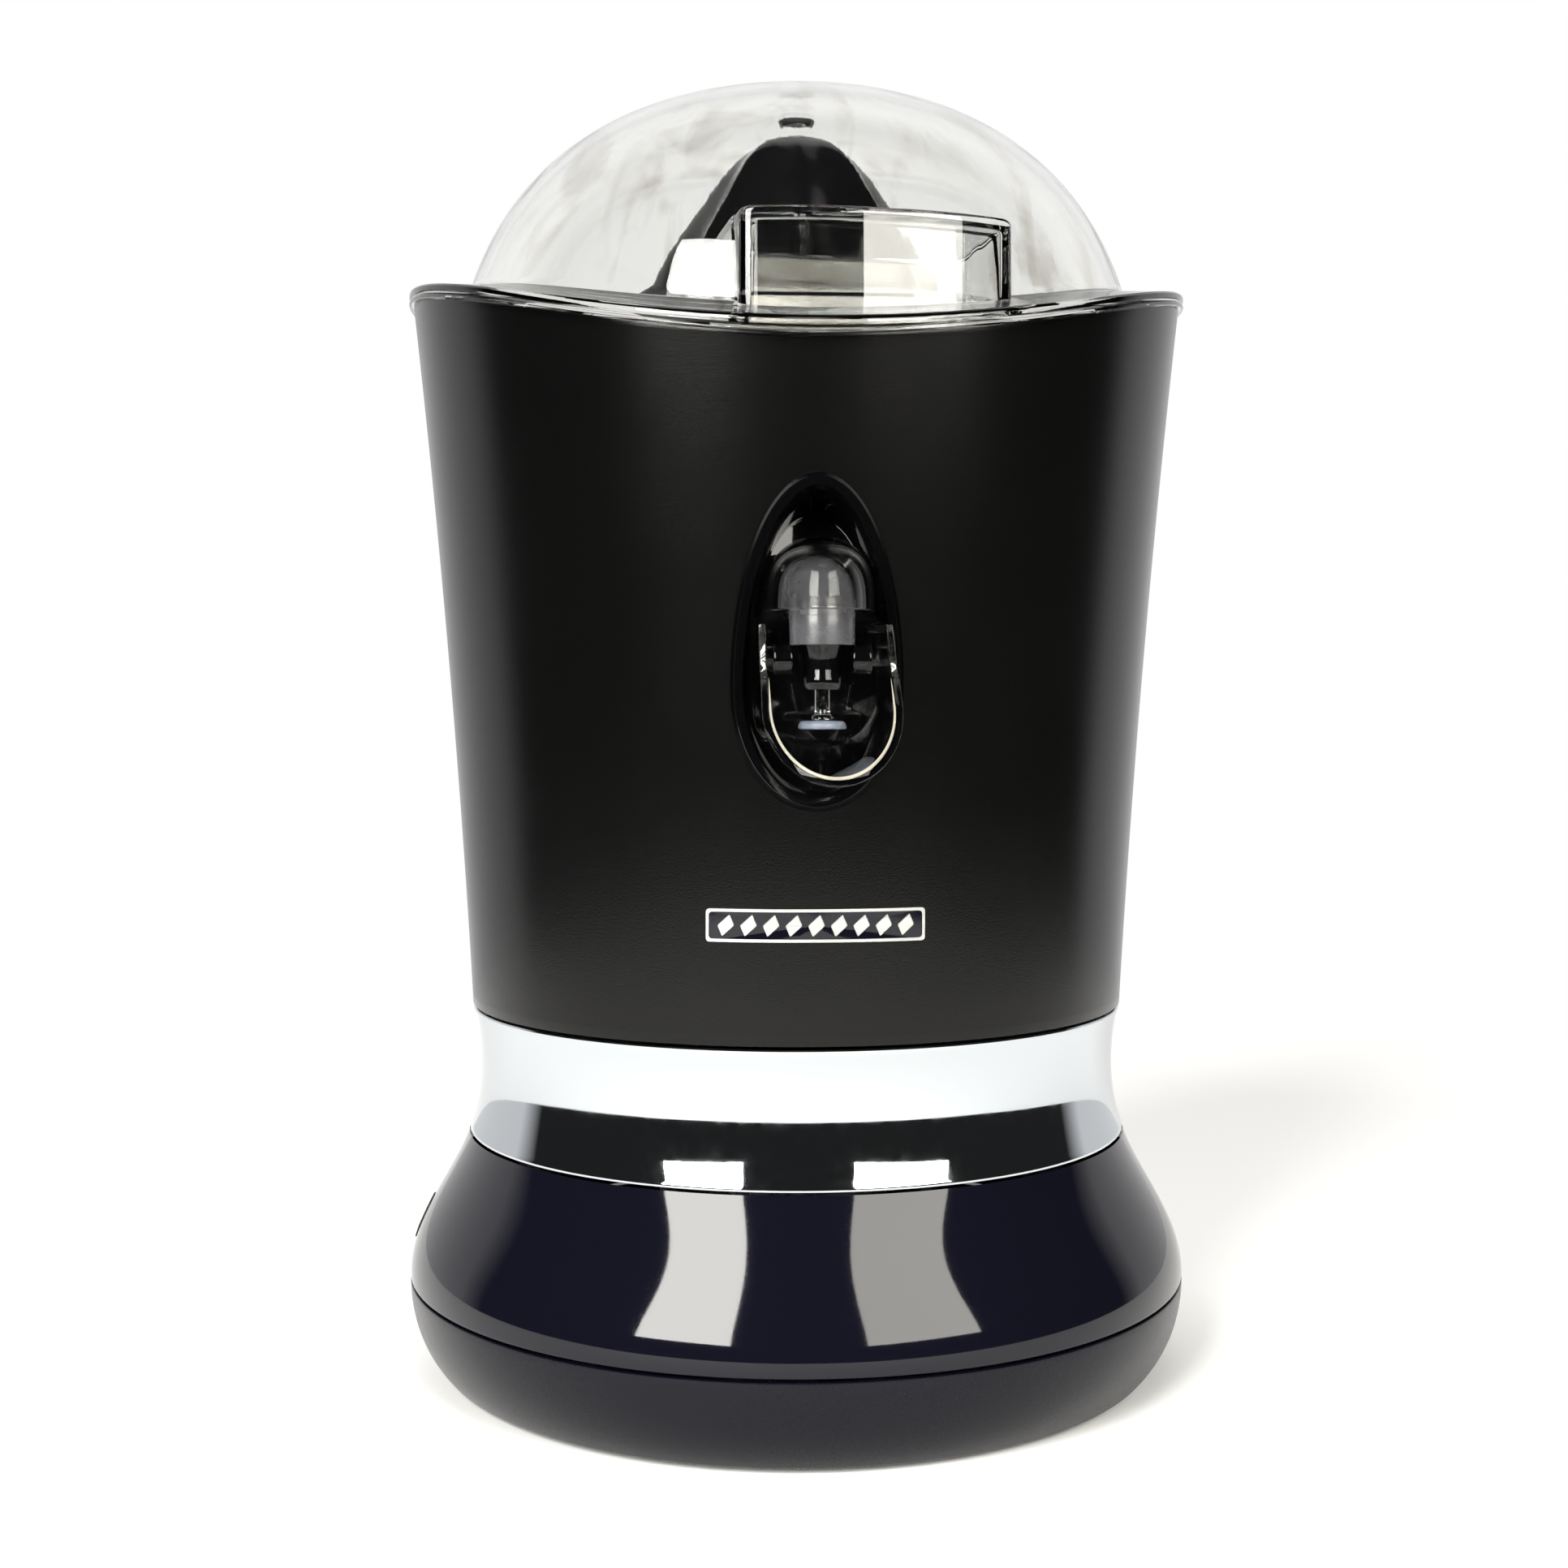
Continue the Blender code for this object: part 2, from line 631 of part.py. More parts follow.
def make_rotor():
    """Rotor with its shaft and the pinion cut on the shaft's upper end."""
    profile = [
        (0, PINION_LOW_Z + 0.001), (ROTOR_SHAFT, PINION_LOW_Z + 0.001),
        (ROTOR_SHAFT, STATOR_HIGH_Z - 0.001), (ROTOR_RADIUS, STATOR_HIGH_Z - 0.001),
        (ROTOR_RADIUS, STATOR_LOW_Z + 0.001), (ROTOR_SHAFT, STATOR_LOW_Z + 0.001),
        (ROTOR_SHAFT, ROTOR_LOW_Z), (0, ROTOR_LOW_Z),
    ]
    rotor = turned("motor_rotor", profile, STEEL, 24)
    teeth = gear_outline(SMALL_TEETH, TO_IDLER)
    boolean(rotor, prism("pinion_teeth", teeth, PINION_LOW_Z, PINION_HIGH_Z), "UNION")


def make_idler():
    """Two-step idler gear: its wheel meets the pinion and its own pinion drives the output gear."""
    centre = (0.0, IDLER_Y)
    half_tooth = math.pi / BIG_TEETH
    wheel = gear_outline(BIG_TEETH, TO_AXIS + half_tooth, centre)
    gear = prism("idler_gear", wheel, PINION_LOW_Z + 0.0004, PINION_HIGH_Z - 0.0004, WHITE_PLASTIC)
    small = gear_outline(SMALL_TEETH, TO_AXIS, centre)
    top = OUTPUT_HIGH_Z + 0.001
    boolean(gear, prism("idler_teeth", small, PINION_HIGH_Z - 0.001, top), "UNION")
    bore = rod("idler_bore", (0, IDLER_Y, 0.07), (0, IDLER_Y, 0.1), IDLER_PIN + GAP, sides=12)
    boolean(gear, bore)


def make_output_gear():
    """Output gear with a long hub and a hexagonal bore that the shaft slides in."""
    half_tooth = math.pi / BIG_TEETH
    wheel = gear_outline(BIG_TEETH, TO_IDLER + half_tooth)
    gear = prism("output_gear", wheel, OUTPUT_LOW_Z, OUTPUT_HIGH_Z, WHITE_PLASTIC)
    hub = rod("hub", (0, 0, PINION_HIGH_Z + 0.0008), (0, 0, GEARBOX_TOP_Z - GAP), HUB_RADIUS)
    boolean(gear, hub, "UNION")
    boolean(gear, prism("hub_bore", hexagon(HEX_RADIUS + HEX_GAP), 0.07, 0.1))


def stadium(grow):
    """Outline round both gear centres."""
    radius = GEAR_MODULE * (BIG_TEETH / 2 + 1) + GEARBOX_ROOM + grow
    points = []
    for i in range(13):
        angle = math.pi * i / 12
        points.append((radius * math.cos(angle), IDLER_Y + radius * math.sin(angle)))
    for i in range(13):
        angle = math.pi + math.pi * i / 12
        points.append((radius * math.cos(angle), radius * math.sin(angle)))
    return points


def make_gearbox():
    """Gearbox case on the chassis, its cover with the shaft's lower bearing, and the idler's pin."""
    low = CHASSIS_TOP_Z + GAP
    case = prism("gearbox_case", stadium(GEARBOX_WALL), low, GEARBOX_TOP_Z, GREY_PLASTIC)
    boolean(case, prism("gearbox_room", stadium(0.0), low + GEARBOX_WALL, GEARBOX_TOP_Z + 0.01))
    boolean(case, rod("rotor_way", (0, 0, 0.07), (0, 0, 0.078), ROTOR_SHAFT + 0.001))
    low = GEARBOX_TOP_Z + GAP
    cover = prism("gearbox_cover", stadium(GEARBOX_WALL), low, low + GEARBOX_WALL, GREY_PLASTIC)
    boolean(cover, rod("shaft_way", (0, 0, 0.09), (0, 0, 0.1), SHAFT_RADIUS + GAP, sides=SMALL_STEPS))
    pin_low = CHASSIS_TOP_Z + GEARBOX_WALL + 2 * GAP
    rod("idler_pin", (0, IDLER_Y, pin_low), (0, IDLER_Y, GEARBOX_TOP_Z), IDLER_PIN, STEEL, 12)


# ---- shaft, collar, spring and switch ----
COVER_TOP_Z = GEARBOX_TOP_Z + GAP + GEARBOX_WALL


def make_shaft():
    """Drive shaft: round through its bearings, with a hexagon at each end."""
    waist = COVER_TOP_Z + 0.004
    shaft = prism("drive_shaft", hexagon(HEX_RADIUS), SHAFT_LOW_Z, SHAFT_TOP_Z, STEEL)
    body = rod("shaft_round", (0, 0, waist), (0, 0, TUBE_TOP_Z - 0.002), SHAFT_RADIUS, sides=SMALL_STEPS)
    boolean(shaft, body, "UNION")


def make_collar():
    """Collar that carries the shaft on the return spring and presses the switch."""
    bore = SHAFT_RADIUS + GAP
    ring("press_collar", bore, COLLAR_RADIUS, COLLAR_Z, COLLAR_Z + COLLAR_THICK, WHITE_PLASTIC)


def make_spring():
    """Open coil spring between the gearbox cover and the collar."""
    low = COVER_TOP_Z + GAP + SPRING_WIRE
    high = COLLAR_Z - GAP - SPRING_WIRE
    per_turn = 8
    count = SPRING_TURNS * per_turn
    curve = bpy.data.curves.new("return_spring", "CURVE")
    curve.dimensions = "3D"
    spline = curve.splines.new("POLY")
    spline.points.add(count)
    for i, point in enumerate(spline.points):
        angle = math.tau * i / per_turn
        z = low + (high - low) * i / count
        point.co = (SPRING_RADIUS * math.cos(angle), SPRING_RADIUS * math.sin(angle), z, 1)
    curve.bevel_depth = SPRING_WIRE
    curve.bevel_resolution = 1
    curve.use_fill_caps = True
    curve.materials.append(STEEL)
    PARTS.objects.link(bpy.data.objects.new("return_spring", curve))


def make_switch():
    """Start switch on the gearbox cover, and the plunger that the collar pushes down."""
    low = COVER_TOP_Z + GAP
    high = COLLAR_Z - PRESS_TRAVEL - 0.0015
    near = SWITCH_X - SWITCH_BACK
    switch = box(
        "start_switch", (near, -SWITCH_HALF_WIDTH, low), (near + SWITCH_LENGTH, SWITCH_HALF_WIDTH, high),
        GREY_PLASTIC,
    )
    floor = low + 0.001
    way = rod("plunger_way", (SWITCH_X, 0, floor), (SWITCH_X, 0, high + 0.01), PLUNGER_RADIUS + GAP,
              sides=12)
    boolean(switch, way)
    rod("switch_plunger", (SWITCH_X, 0, floor + PRESS_TRAVEL + GAP), (SWITCH_X, 0, COLLAR_Z - GAP),
        PLUNGER_RADIUS, WHITE_PLASTIC, 12)


# ---- duct and spout ----
def duct_z(y):
    """Height of the duct's middle line where it crosses the pocket's back wall."""
    return 0.1658 + (POCKET_BACK_Y - y) * 0.2


def duct_path():
    """Middle line (y, z, outer radius) from the mouth under the deck to the nozzle's end."""
    top = DECK_TOP_Z - DECK_THICK - GAP
    return [
        (DRAIN_Y, top, MOUTH_RADIUS), (DRAIN_Y, 0.1775, MOUTH_RADIUS), (-0.0515, 0.1715, DUCT_RADIUS),
        (-0.0555, 0.1675, DUCT_RADIUS), (-0.066, 0.1645, DUCT_RADIUS), (-0.078, 0.1625, DUCT_RADIUS),
        (-0.085, 0.1595, DUCT_RADIUS), (NOZZLE_Y, PIN_Z + 0.004, NOZZLE_RADIUS),
        (NOZZLE_Y, PIN_Z - 0.002, NOZZLE_RADIUS), (NOZZLE_Y, NOZZLE_END_Z, NOZZLE_TIP_RADIUS),
    ]


def make_duct():
    """Bent tube that leads the juice from the bowl's drain to the nozzle above the spout."""
    path = duct_path()
    turns = [math.tau * k / DUCT_SIDES for k in range(DUCT_SIDES)]
    bm = bmesh.new()
    walls = []
    for wall in (0.0, DUCT_WALL):
        rings = []
        for i, (y, z, radius) in enumerate(path):
            before = path[max(i - 1, 0)]
            after = path[min(i + 1, len(path) - 1)]
            along = Vector((0, after[0] - before[0], after[1] - before[1])).normalized()
            side = Vector((1, 0, 0))
            up = along.cross(side)
            inner = radius - wall
            middle = Vector((0, y, z))
            rings.append([
                bm.verts.new(middle + side * (inner * math.cos(a)) + up * (inner * math.sin(a)))
                for a in turns
            ])
        for low, high in zip(rings, rings[1:]):
            join_rings(bm, low, high)
        walls.append(rings)
    join_rings(bm, walls[0][0], walls[1][0])
    join_rings(bm, walls[0][-1], walls[1][-1])
    place_bmesh("juice_duct", bm, CLEAR)


def join_rings(bm, first, second):
    """Quads between two rings of points."""
    count = len(first)
    for k in range(count):
        n = (k + 1) % count
        bm.faces.new((first[k], first[n], second[n], second[k]))


def trough_prism(name, inset, back_y, front_y, material=None):
    """Round-bottomed channel outline carried forwards along the spout and tipped down at its lip."""
    radius = SPOUT_HALF_WIDTH - inset
    centre_z = LIP_Z + SPOUT_HALF_WIDTH + 0.0002
    bends = 12
    outline = []
    for i in range(bends + 1):
        angle = math.pi + math.pi * i / bends
        outline.append((radius * math.cos(angle), centre_z + radius * math.sin(angle)))
    top = 0.17 + inset
    outline += [(radius, top), (-radius, top)]
    lip = Vector((0, LIP_Y, LIP_Z))
    tip = Matrix.Translation(lip) @ Matrix.Rotation(SPOUT_SLOPE, 4, "X") @ Matrix.Translation(-lip)
    return prism(name, outline, -back_y, -front_y, material, tip @ XZ_PLANE)


def make_spout():
    """Clear tilting scoop under the nozzle: open above and behind, with two ears on pins."""
    spout = trough_prism("spout", 0.0, SPOUT_BACK_Y, LIP_Y - 0.004, CLEAR)
    boolean(spout, trough_prism("spout_room", SPOUT_WALL, SPOUT_BACK_Y + 0.01, LIP_Y - 0.02))
    far = 0.02
    ear = PIN_Z + SPOUT_EAR
    corner_y = LIP_Y + (SPOUT_CORNER_Z - LIP_Z) / LIP_RAKE
    mouth = [
        (LIP_Y - far, LIP_Z - far * LIP_RAKE), (corner_y, SPOUT_CORNER_Z), (PIN_Y - SPOUT_EAR_FRONT, ear),
        (SPOUT_BACK_Y + far, ear), (SPOUT_BACK_Y + far, 0.2), (LIP_Y - far, 0.2),
    ]
    boolean(spout, prism("spout_mouth", mouth, -0.03, 0.03, matrix=YZ_PLANE))
    boolean(spout, rod("spout_eyes", (-0.02, PIN_Y, PIN_Z), (0.02, PIN_Y, PIN_Z), PIN_RADIUS + GAP,
                       sides=12))


def make_pins():
    """Two short pins that stand out of the nozzle and carry the spout."""
    for name, side in (("spout_pin_left", -1), ("spout_pin_right", 1)):
        inner = side * (NOZZLE_RADIUS + GAP)
        rod(name, (inner, PIN_Y, PIN_Z), (side * SPOUT_HALF_WIDTH, PIN_Y, PIN_Z), PIN_RADIUS, STEEL, 12)


def make_valve():
    """Drip valve: a disc on a stem that hangs in the nozzle on a cross-shaped guide."""
    disc_top = VALVE_DISC_Z + VALVE_DISC_THICK
    profile = [
        (0, VALVE_TOP_Z), (VALVE_STEM, VALVE_TOP_Z), (VALVE_STEM, disc_top),
        (VALVE_DISC_RADIUS, disc_top), (VALVE_DISC_RADIUS, VALVE_DISC_Z), (0, VALVE_DISC_Z),
    ]
    valve = turned("drip_valve", profile, WHITE_PLASTIC, 16)
    valve.location = (0, NOZZLE_Y, 0)
    reach = NOZZLE_RADIUS - DUCT_WALL - 2 * GAP
    vane_top = VANE_LOW_Z + VANE_HEIGHT
    for name, x, y in (("guide_x", reach, VANE_HALF_THICK), ("guide_y", VANE_HALF_THICK, reach)):
        vane = box(name, (-x, NOZZLE_Y - y, VANE_LOW_Z), (x, NOZZLE_Y + y, vane_top))
        boolean(valve, vane, "UNION")


# ---- bowl, strainer, cone and lid ----
def make_bowl():
    """Clear juice bowl: saddle flange on the rim, a ledge for the strainer, a drain and a shaft tube."""
    floor_top = BOWL_FLOOR_Z + BOWL_WALL
    tube = TUBE_BORE + TUBE_WALL
    top = 0.234
    inner_rim = BOWL_RIM_RADIUS - BOWL_WALL
    foot_inner = BOWL_FOOT_RADIUS - BOWL_FOOT_WALL
    profile = [
        (FLANGE_RADIUS, top), (FLANGE_RADIUS, LEDGE_Z - BOWL_WALL),
        (BOWL_WELL_RADIUS + BOWL_WALL, LEDGE_Z - BOWL_WALL),
        (BOWL_WELL_RADIUS + BOWL_WALL, BOWL_FLOOR_Z), (BOWL_FOOT_RADIUS, BOWL_FLOOR_Z),
        (BOWL_FOOT_RADIUS, DECK_TOP_Z + GAP), (foot_inner, DECK_TOP_Z + GAP), (foot_inner, BOWL_FLOOR_Z),
        (TUBE_BORE, BOWL_FLOOR_Z), (TUBE_BORE, TUBE_TOP_Z), (tube, TUBE_TOP_Z), (tube, floor_top),
        (BOWL_WELL_RADIUS, floor_top), (BOWL_WELL_RADIUS, LEDGE_Z), (inner_rim, LEDGE_Z),
        (inner_rim, top),
    ]
    bowl = turned("juice_bowl", profile, CLEAR)
    boolean(bowl, saddle_prism("bowl_top_cut", GAP + BOWL_FLANGE, SKY_Z))
    under = ring("bowl_under_cut", BOWL_RIM_RADIUS, 0.095, GROUND_Z + 0.01, 0.24, steps=TURN_STEPS)
    boolean(under, saddle_prism("bowl_under_top", GAP, SKY_Z))
    boolean(bowl, under)
    drain = rod("drain", (0, DRAIN_Y, DRAIN_END_Z), (0, DRAIN_Y, BOWL_FLOOR_Z + 0.001), DRAIN_RADIUS)
    boolean(bowl, drain, "UNION")
    boolean(bowl, rod("drain_hole", (0, DRAIN_Y, 0.17), (0, DRAIN_Y, 0.20), DRAIN_BORE))


def make_strainer():
    """Strainer plate on the bowl's ledge, with a ring of radial slots."""
    low = LEDGE_Z + GAP
    high = low + STRAINER_PLATE
    edge = BOWL_RIM_RADIUS - BOWL_WALL - GAP
    eye = TUBE_BORE + TUBE_WALL + GAP
    lip = edge - STRAINER_LIP_WALL
    lip_top = high + STRAINER_LIP
    plate = turned(
        "pulp_strainer",
        [(edge, lip_top), (edge, low), (eye, low), (eye, high), (lip, high), (lip, lip_top)],
        WHITE_PLASTIC,
    )
    bm = bmesh.new()
    for i in range(SLOT_COUNT):
        size = Matrix.Diagonal((SLOT_TO - SLOT_FROM, SLOT_WIDTH, 0.01, 1.0))
        shift = Matrix.Translation(((SLOT_TO + SLOT_FROM) / 2, 0, low))
        turn = Matrix.Rotation(math.tau * (i + 0.5) / SLOT_COUNT, 4, "Z")
        bmesh.ops.create_cube(bm, size=1.0, matrix=turn @ shift @ size)
    boolean(plate, place_bmesh("slots", bm, None))


def cone_radius(z):
    """Mean radius of the reamer at height z: a steep nose that flares to the skirt."""
    points = [(CONE_TIP_Z, 0.0), (0.2657, 0.0066), (0.2619, 0.0127), (0.2570, 0.0170),
              (0.2512, 0.0206), (0.2433, 0.0263), (0.2300, 0.0330), (0.2160, 0.0372),
              (CONE_FOOT_Z, CONE_RADIUS)]
    for (z0, r0), (z1, r1) in zip(points, points[1:]):
        if z >= z1:
            return r0 + (r1 - r0) * (z0 - z) / (z0 - z1)
    return CONE_RADIUS


def make_cone():
    """Ribbed reamer cone with a hexagonal socket for the shaft."""
    heights = [0.2657, 0.2625, 0.2585, 0.2530, 0.2470, 0.2380, 0.2270, 0.2165, CONE_FOOT_Z]
    sides = CONE_RIBS * 4
    bm = bmesh.new()
    tip = bm.verts.new((0, 0, CONE_TIP_Z))
    rings = []
    for z in heights:
        share = (CONE_TIP_Z - z) / (CONE_TIP_Z - CONE_FOOT_Z)
        depth = CONE_RIB_DEPTH * math.sin(math.pi * min(1.0, share)) ** 0.5
        points = []
        for k in range(sides):
            angle = math.tau * k / sides
            radius = cone_radius(z) * (1 - depth * math.sin(CONE_RIBS * angle / 2) ** 2)
            points.append(bm.verts.new((radius * math.cos(angle), radius * math.sin(angle), z)))
        rings.append(points)
    for k in range(sides):
        bm.faces.new((tip, rings[0][k], rings[0][(k + 1) % sides]))
    for upper, lower in zip(rings, rings[1:]):
        join_rings(bm, upper, lower)
    bm.faces.new(rings[-1])
    cone = place_bmesh("reamer_cone", bm, GLOSS_BLACK)
    socket = prism("cone_socket", hexagon(HEX_RADIUS + HEX_GAP), 0.2, SHAFT_TOP_Z + GAP)
    boolean(cone, socket)
    inside = [(cone_radius(z) * (1 - CONE_RIB_DEPTH) - CONE_WALL, z) for z in (0.242, 0.230, 0.218)]
    inside += [(inside[-1][0], 0.2), (CONE_HUB_RADIUS, 0.2), (CONE_HUB_RADIUS, inside[0][1])]
    boolean(cone, turned("cone_room", inside))


def make_washer():
    """Slip washer that the cone turns on."""
    top = CONE_FOOT_Z - GAP
    inner = TUBE_BORE + TUBE_WALL + WASHER_GAP
    ring("cone_washer", inner, inner + WASHER_WIDTH, top - WASHER_THICK, top, WHITE_PLASTIC)


def dome_profile(inset, count=12):
    """Half outline of the dome, from its apex down to a straight skirt."""
    radius = DOME_RADIUS - inset
    height = DOME_HEIGHT - inset
    points = []
    for i in range(count):
        angle = math.pi / 2 * (1 - i / (count - 1))
        r = radius * max(math.cos(angle), 0.0) ** (2 / DOME_POWER)
        z = DOME_BASE_Z + height * math.sin(angle) ** (2 / DOME_POWER)
        points.append((0.0 if i == 0 else r, z))
    low = 0.18 if inset else 0.19
    points[-1] = (radius, low)
    return points + [(0, low)]


def dormer_solid(name, inset):
    """Flat-topped box on the lid's front, with a curved front face."""
    top = DORMER_TOP_Z - inset
    radius = DORMER_RADIUS - inset
    low = 0.186 if inset else 0.192
    drum = turned(
        name,
        [(0, top), (radius - DORMER_BEVEL, top), (radius, top - DORMER_BEVEL), (radius, low), (0, low)],
    )
    half = DORMER_HALF_WIDTH - inset
    block = box(f"{name}_block", (-half, -0.09, 0.17), (half, -0.035, 0.25), turn=DORMER_TURN)
    return boolean(drum, block, "INTERSECT")


def make_lid():
    """Clear dome lid with a saddle flange, a box-shaped bay at the front and a boss at the apex."""
    lid = turned("lid", dome_profile(0.0), CLEAR)
    flange = disc("lid_flange", FLANGE_RADIUS, 0.195, 0.236, steps=TURN_STEPS)
    boolean(flange, saddle_prism("flange_top", 2 * GAP + BOWL_FLANGE + LID_FLANGE, SKY_Z))
    boolean(lid, flange, "UNION")
    boolean(lid, dormer_solid("dormer_outer", 0.0), "UNION")
    boolean(lid, saddle_prism("lid_base", 2 * GAP + BOWL_FLANGE, GROUND_Z))
    boolean(lid, turned("dome_room", dome_profile(LID_WALL)))
    boolean(lid, dormer_solid("dormer_room", LID_WALL))
    ceiling = DOME_BASE_Z + DOME_HEIGHT - LID_WALL
    boss = disc("apex_boss", BOSS_RADIUS, ceiling - BOSS_DEPTH, ceiling + 0.001, steps=12)
    boolean(lid, boss, "UNION")


make_tray()
make_feet()
make_screws()
make_cover()
make_gland()
make_waist_ring()
make_body_shell()
make_pocket()
make_badge()
make_deck()
make_shaft_bush()
make_chassis()
make_motor()
make_rotor()
make_idler()
make_output_gear()
make_gearbox()
make_shaft()
make_collar()
make_spring()
make_switch()
make_duct()
make_spout()
make_pins()
make_valve()
make_bowl()
make_strainer()
make_cone()
make_washer()
make_lid()
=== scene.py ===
"""Citrus press juicer: the finished surfaces, materials, light and camera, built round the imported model.

Sizes are in metres. Z is the turning axis of the motor and cone, z = 0 is the worktop, -Y is the front.
"""
import json
import math

import bmesh
import bpy
import numpy as np
from mathutils import Matrix, Vector


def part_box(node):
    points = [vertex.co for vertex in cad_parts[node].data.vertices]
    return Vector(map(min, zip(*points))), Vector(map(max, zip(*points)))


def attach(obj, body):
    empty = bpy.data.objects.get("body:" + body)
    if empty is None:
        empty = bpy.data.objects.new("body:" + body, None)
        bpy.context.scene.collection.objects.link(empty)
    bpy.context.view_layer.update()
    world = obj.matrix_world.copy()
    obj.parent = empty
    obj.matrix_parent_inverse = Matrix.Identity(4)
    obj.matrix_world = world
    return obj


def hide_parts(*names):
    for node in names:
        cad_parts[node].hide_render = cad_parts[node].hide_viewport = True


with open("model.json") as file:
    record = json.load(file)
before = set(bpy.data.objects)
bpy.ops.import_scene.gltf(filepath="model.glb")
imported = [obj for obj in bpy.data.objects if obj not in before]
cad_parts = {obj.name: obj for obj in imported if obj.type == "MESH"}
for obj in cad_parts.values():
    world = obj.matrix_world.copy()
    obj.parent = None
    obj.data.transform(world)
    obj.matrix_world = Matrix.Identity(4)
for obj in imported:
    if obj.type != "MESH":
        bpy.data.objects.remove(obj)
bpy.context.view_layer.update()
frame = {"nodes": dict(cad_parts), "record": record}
nodes = frame["nodes"]

# ---- camera ----
# A level camera at the height of the spout, less than half a metre away and a little to the juicer's
# left. The lens is shifted, so that upright edges stay upright.
VIEW_DISTANCE = 0.4475
VIEW_HEIGHT = 0.1407
VIEW_TURN = math.radians(3.0)
camera_data = bpy.data.cameras.new("camera")
camera_data.lens = 46.58
camera_data.shift_x = -0.0078
camera_data.shift_y = -0.0497
camera = bpy.data.objects.new("camera", camera_data)
camera.location = (
    -VIEW_DISTANCE * math.sin(VIEW_TURN), -VIEW_DISTANCE * math.cos(VIEW_TURN), VIEW_HEIGHT
)
camera.rotation_euler = (math.pi / 2, 0, -VIEW_TURN)
bpy.context.scene.collection.objects.link(camera)
bpy.context.scene.camera = camera
bpy.context.scene.view_settings.view_transform = "Standard"

# ---- base tray ----
# Dished tray that closes the base from below: black ABS with a fine spark-eroded texture, moulded in
# one piece, held by four screws from underneath.


def linear(code):
    """An sRGB hex colour as linear RGBA."""
    channels = [int(code[i:i + 2], 16) / 255 for i in (1, 3, 5)]
    return [c / 12.92 if c <= 0.04045 else ((c + 0.055) / 1.055) ** 2.4 for c in channels] + [1.0]


def add(tree, kind, links=(), **settings):
    """A node of the given kind, its inputs or attributes set by name, and its links (from, socket, to)."""
    made = tree.nodes.new(kind)
    for key, value in settings.items():
        if hasattr(made, key):
            setattr(made, key, value)
        else:
            made.inputs[key.replace("_", " ")].default_value = value
    for source, output, target in links:
        tree.links.new(source.outputs[output], made.inputs[target])
    return made


def begin(name, **sockets):
    """A new material with its Principled shader's sockets set, and its Object coordinates."""
    material = bpy.data.materials.new(name)
    material.use_nodes = True
    tree = material.node_tree
    shader = tree.nodes["Principled BSDF"]
    for key, value in sockets.items():
        shader.inputs[key.replace("_", " ")].default_value = value
    return material, tree, shader, add(tree, "ShaderNodeTexCoord")


def roughness_from(tree, shader, source, output, low, high):
    """Roughness that runs from low to high with a pattern's value."""
    spread = add(
        tree, "ShaderNodeMapRange", [(source, output, "Value")], From_Min=0.3, From_Max=0.7,
        To_Min=low, To_Max=high,
    )
    tree.links.new(spread.outputs["Result"], shader.inputs["Roughness"])


def bump_from(tree, shader, source, output, height, strength=1.0):
    """Bump of the given height in metres from a pattern's value."""
    bump = add(
        tree, "ShaderNodeBump", [(source, output, "Height")], Distance=height, Strength=strength
    )
    tree.links.new(bump.outputs["Normal"], shader.inputs["Normal"])


GRAIN = 0.00025


def textured_abs(name, colour, low, high, ior=1.46):
    """Moulded ABS with an eroded grain a quarter of a millimetre across."""
    material, tree, shader, place = begin(name, Base_Color=linear(colour), IOR=ior)
    fine = add(tree, "ShaderNodeTexNoise", [(place, "Object", "Vector")], Scale=1 / GRAIN, Detail=3.0)
    broad = add(tree, "ShaderNodeTexNoise", [(place, "Object", "Vector")], Scale=22.0, Detail=4.0)
    mixed = add(
        tree, "ShaderNodeMath", [(fine, "Fac", 0), (broad, "Fac", 1)], operation="MULTIPLY"
    )
    doubled = add(tree, "ShaderNodeMath", [(mixed, "Value", 0)], operation="MULTIPLY")
    doubled.inputs[1].default_value = 2.0
    roughness_from(tree, shader, doubled, "Value", low, high)
    bump_from(tree, shader, fine, "Fac", 0.000012)
    return material


SATIN_ABS = textured_abs("satin_black_abs", "#060606", 0.17, 0.23, 1.31)
TRAY_ABS = textured_abs("textured_black_abs", "#06060f", 0.22, 0.32, 1.32)


def shaded(name, mesh, material, smooth=35):
    """Object from a finished mesh, with its gentle edges smooth and its material set."""
    mesh.shade_smooth()
    mesh.set_sharp_from_angle(angle=math.radians(smooth))
    piece = bpy.data.objects.new(name, mesh)
    bpy.context.scene.collection.objects.link(piece)
    if material:
        mesh.materials.append(material)
    return piece


def quads_between(index):
    """A quad between neighbouring rows and columns of point numbers, its front where rows run down and
    columns run anticlockwise."""
    return np.stack((index[:-1, :-1], index[1:, :-1], index[1:, 1:], index[:-1, 1:]), axis=-1)


def grid_piece(name, grid, material, around=True, closed=False, smooth=35):
    """Mesh over a grid of points (rows, columns, 3), which may close round its columns and its rows."""
    rows, columns = grid.shape[:2]
    index = np.arange(rows * columns).reshape(rows, columns)
    if around:
        index = np.concatenate([index, index[:, :1]], axis=1)
    if closed:
        index = np.concatenate([index, index[:1]], axis=0)
    quads = quads_between(index).reshape(-1, 4)
    return finish_piece(name, grid.reshape(-1, 3), quads, material, smooth)


